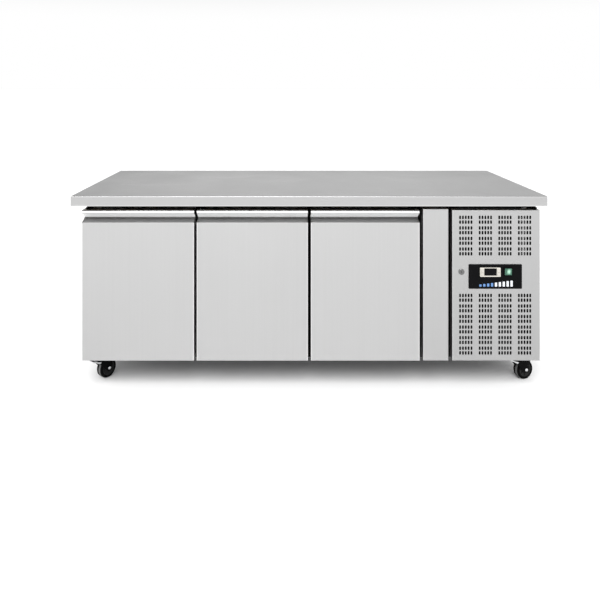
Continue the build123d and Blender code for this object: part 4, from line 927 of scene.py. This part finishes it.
def make_fork(caster):
    """Two pressed legs under a crown with a ball race, and the axle bolt with its nut."""
    braked = f"{caster}_pedal" in nodes
    leg = rounded_outline(in_metres(LEG_BRAKED if braked else LEG_PLAIN), 8)
    plate = rounded_outline(in_metres(CROWN_PLATE), 5)
    points, faces = prism(plate, CROWN_LOW, CROWN_HIGH, 1.0 * MM)
    crown_plate = [(x, y, along) for along, x, y in points], faces
    race = lathe(in_metres(CROWN), 48, (0, 0, 0), (0, 0, 1), closed=True)
    shapes = [crown_plate, race]
    for side in (-1, 1):
        low, high = sorted((side * FORK_INNER, side * FORK_OUTER))
        shapes.append(prism(leg, low, high, 0.8 * MM))
    points, faces = merged(*shapes)
    body = f"{caster}_fork"
    fork = piece(f"{caster}_yoke", placed(points, caster), faces, fork_enamel, body)
    centre = (0, TRAIL, AXLE_HEIGHT)
    points, faces = merged(
        lathe(in_metres(AXLE), 24, centre, ALONG_AXLE),
        lathe(in_metres(WASHER), 32, centre, ALONG_AXLE, closed=True),
        lathe(in_metres(WASHER), 32, centre, (-1, 0, 0), closed=True),
        hexagon(NUT_RADIUS, 20.5 * MM, 23.0 * MM),
        hexagon(NUT_RADIUS, -24.4 * MM, -20.5 * MM),
        lathe(in_metres(DOME), 32, centre, ALONG_AXLE),
    )
    piece(f"{caster}_axle", placed(points, caster), faces, nut_zinc, body)
    if braked:
        y, z = PEDAL_PIVOT
        points, faces = lathe(in_metres(PEDAL_PIN), 32, (0, y * MM, z * MM), ALONG_AXLE)
        piece(f"{caster}_pin", placed(points, caster), faces, zinc_bright, body)
    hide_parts(body)


def make_wheel(caster):
    """A crowned tyre on a dished hub with ribs."""
    centre = (0, TRAIL, AXLE_HEIGHT)
    body = f"{caster}_wheel"
    points, faces = lathe(in_metres(TYRE), 96, centre, ALONG_AXLE, closed=True)
    points = placed(points, caster)
    tyre = piece(f"{caster}_tyre", points, faces, tyre_rubber, body)
    tyre.data.materials.append(tread_rubber)
    for index, face in enumerate(tyre.data.polygons):
        face.material_index = int(index % len(TYRE) in TREAD_BAND)
    shapes = [lathe(in_metres(HUB), 72, centre, ALONG_AXLE, closed=True)]
    for index in range(RIBS):
        turn = Matrix.Rotation(2 * math.pi * index / RIBS, 2)
        outline = []
        for radius, across in RIB_PLAN:
            spot = turn @ Vector((radius, across)) * MM
            outline.append(Vector((TRAIL + spot.x, AXLE_HEIGHT + spot.y)))
        shapes.append(prism(outline, -11 * MM, 11 * MM, 0.3 * MM, 2))
    points, faces = merged(*shapes)
    points = placed(points, caster)
    piece(f"{caster}_hub", points, faces, hub_plastic, body)
    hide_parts(body)


def sloped(half, back, front, radii, low, high, edge):
    """A rectangular plate pulled from low to high, then tilted to lie along the pedal's tread."""
    bend_y, bend_z = PEDAL_BEND
    rise = (PEDAL_TIP[1] - bend_z) / (PEDAL_TIP[0] - bend_y)
    outer, inner = radii
    plan = [(-half, front, outer), (half, front, outer), (half, back, inner), (-half, back, inner)]
    plate = rounded_outline(in_metres(plan))
    points, faces = prism(plate, low * MM, high * MM, edge * MM)
    foot = bend_z * MM - rise * bend_y * MM
    lift = [(across, far, foot + along + rise * far) for along, across, far in points]
    return lift, faces


def make_pedal(caster):
    """A pressed, plated pedal astride the fork, with a ribbed rubber pad on its tread."""
    bend_y, tip_y = PEDAL_BEND[0], PEDAL_TIP[0]
    body = f"{caster}_pedal"
    cheek = rounded_outline(in_metres(CHEEK))
    shapes = []
    for side in (-1, 1):
        low, high = sorted((side * PEDAL_INNER * MM, side * PEDAL_OUTER * MM))
        shapes.append(prism(cheek, low, high, 0.5 * MM))
    shapes.append(sloped(PEDAL_OUTER - 0.1, bend_y, tip_y + 0.1, (3, 1), -1.9, -0.5, 0.4))
    points, faces = merged(*shapes)
    points = placed(points, caster)
    pedal = piece(f"{caster}_lever", points, faces, zinc_bright, body)
    half = PEDAL_INNER - 0.4
    pads = [sloped(half, bend_y - 0.4, tip_y + 1.4, (2, 1), -0.8, -0.3, 0.2)]
    for index in range(PAD_RIBS):
        rib_y = bend_y - PAD_RIB_START - PAD_RIB_PITCH * index
        back, front = rib_y + PAD_RIB_HALF, rib_y - PAD_RIB_HALF
        pads.append(sloped(half - 2, back, front, (0.6, 0.6), -0.5, -0.02, 0.2))
    points, faces = merged(*pads)
    points = placed(points, caster)
    piece(f"{caster}_pad", points, faces, tyre_rubber, body)
    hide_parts(body)


for caster in CASTERS:
    make_fork(caster)
    make_wheel(caster)
    if f"{caster}_pedal" in nodes:
        make_pedal(caster)


# ---------------------------------------------------------------- edges of the folded sheets
SHEET_EDGES = {
    "hinge_brackets": 0.5 * MM,
    "caster_plates": 0.4 * MM,
    "machine_frame": 0.8 * MM,
    "lock_barrel": 0.3 * MM,
    "cable_gland": 0.5 * MM,
    "left_side_panel": 0.35 * MM,
    "right_side_panel": 0.35 * MM,
    "back_panel": 0.35 * MM,
}
for name, width in SHEET_EDGES.items():
    soften(nodes[name], width)


# ---------------------------------------------------------------- stage, light and camera
FLOOR_HALF = 150.0
# The studio is white, and fades to WORLD_BACK over these ranges of the sky's direction.
WORLD_BACK = 0.5
BACK_RANGE = (-0.2, 0.5)
HIGH_RANGE = (0.1, 0.28)
SUN_STRENGTH = 3.4
SUN_SPREAD = math.radians(35)
SUN_TURN = (math.radians(45), 0, math.radians(-8))
EYE = (-0.0838, -2.654, 1.1665)
FILM_WIDTH = 36
FOCAL_LENGTH = 36.66
SHIFT_X = 0.022
SHIFT_Y = -0.357


def make_stage():
    """A pale floor."""
    surface = Surface("floor", (0.8, 0.8, 0.8), 0.8, Specular_IOR_Level=0.0)
    grain = surface.noise((3.0, 3.0, 3.0), 3.0)
    surface.colour(surface.blend(grain, (0.795, 0.795, 0.795), (0.805, 0.805, 0.805)))
    mesh = bpy.data.meshes.new("floor")
    corners = [
        (side * FLOOR_HALF, end * FLOOR_HALF, 0)
        for side, end in ((-1, -1), (1, -1), (1, 1), (-1, 1))
    ]
    mesh.from_pydata(corners, [], [(0, 1, 2, 3)])
    mesh.materials.append(surface.material)
    floor = bpy.data.objects.new("floor", mesh)
    bpy.context.scene.collection.objects.link(floor)


def make_world():
    """A white studio, dimmer high up behind the object."""
    world = bpy.data.worlds.new("studio")
    world.use_nodes = True
    tree = world.node_tree
    place = tree.nodes.new("ShaderNodeTexCoord").outputs["Generated"]
    split = tree.nodes.new("ShaderNodeSeparateXYZ")
    tree.links.new(place, split.inputs["Vector"])

    def ramp(out, low, high, to_low, to_high):
        node = tree.nodes.new("ShaderNodeMapRange")
        node.interpolation_type = "SMOOTHSTEP"
        tree.links.new(out, node.inputs["Value"])
        for socket, number in zip(MAP_RANGE, (low, high, to_low, to_high)):
            node.inputs[socket].default_value = number
        return node.outputs["Result"]

    def product(first, second):
        node = tree.nodes.new("ShaderNodeMath")
        node.operation = TIMES
        tree.links.new(first, node.inputs[0])
        tree.links.new(second, node.inputs[1])
        return node.outputs["Value"]

    behind = ramp(split.outputs["Y"], *BACK_RANGE, *UNIT)
    dim = tree.nodes.new("ShaderNodeMapRange")
    shade = product(ramp(split.outputs["Z"], *HIGH_RANGE, *UNIT), behind)
    tree.links.new(shade, dim.inputs["Value"])
    dim.inputs["To Min"].default_value = 1.0
    dim.inputs["To Max"].default_value = WORLD_BACK
    tree.links.new(dim.outputs["Result"], tree.nodes["Background"].inputs["Strength"])
    tree.nodes["Background"].inputs["Color"].default_value = (1, 1, 1, 1)
    bpy.context.scene.world = world


def make_light():
    """A broad, high light in front."""
    sun = bpy.data.lights.new("key", "SUN")
    sun.energy = SUN_STRENGTH
    sun.angle = SUN_SPREAD
    lamp = bpy.data.objects.new("key", sun)
    lamp.rotation_euler = SUN_TURN
    bpy.context.scene.collection.objects.link(lamp)
    view = bpy.context.scene.view_settings
    view.view_transform = "Standard"
    view.look = "None"


def make_camera():
    """A level camera in front, above the worktop, with a shifted lens."""
    camera = bpy.data.cameras.new("camera")
    camera.sensor_width = FILM_WIDTH
    camera.lens = FOCAL_LENGTH
    camera.shift_x = SHIFT_X
    camera.shift_y = SHIFT_Y
    camera.clip_end = 200
    eye = bpy.data.objects.new("camera", camera)
    eye.location = EYE
    eye.rotation_euler = (math.pi / 2, 0, 0)
    bpy.context.scene.collection.objects.link(eye)
    bpy.context.scene.camera = eye


make_stage()
make_world()
make_light()
make_camera()
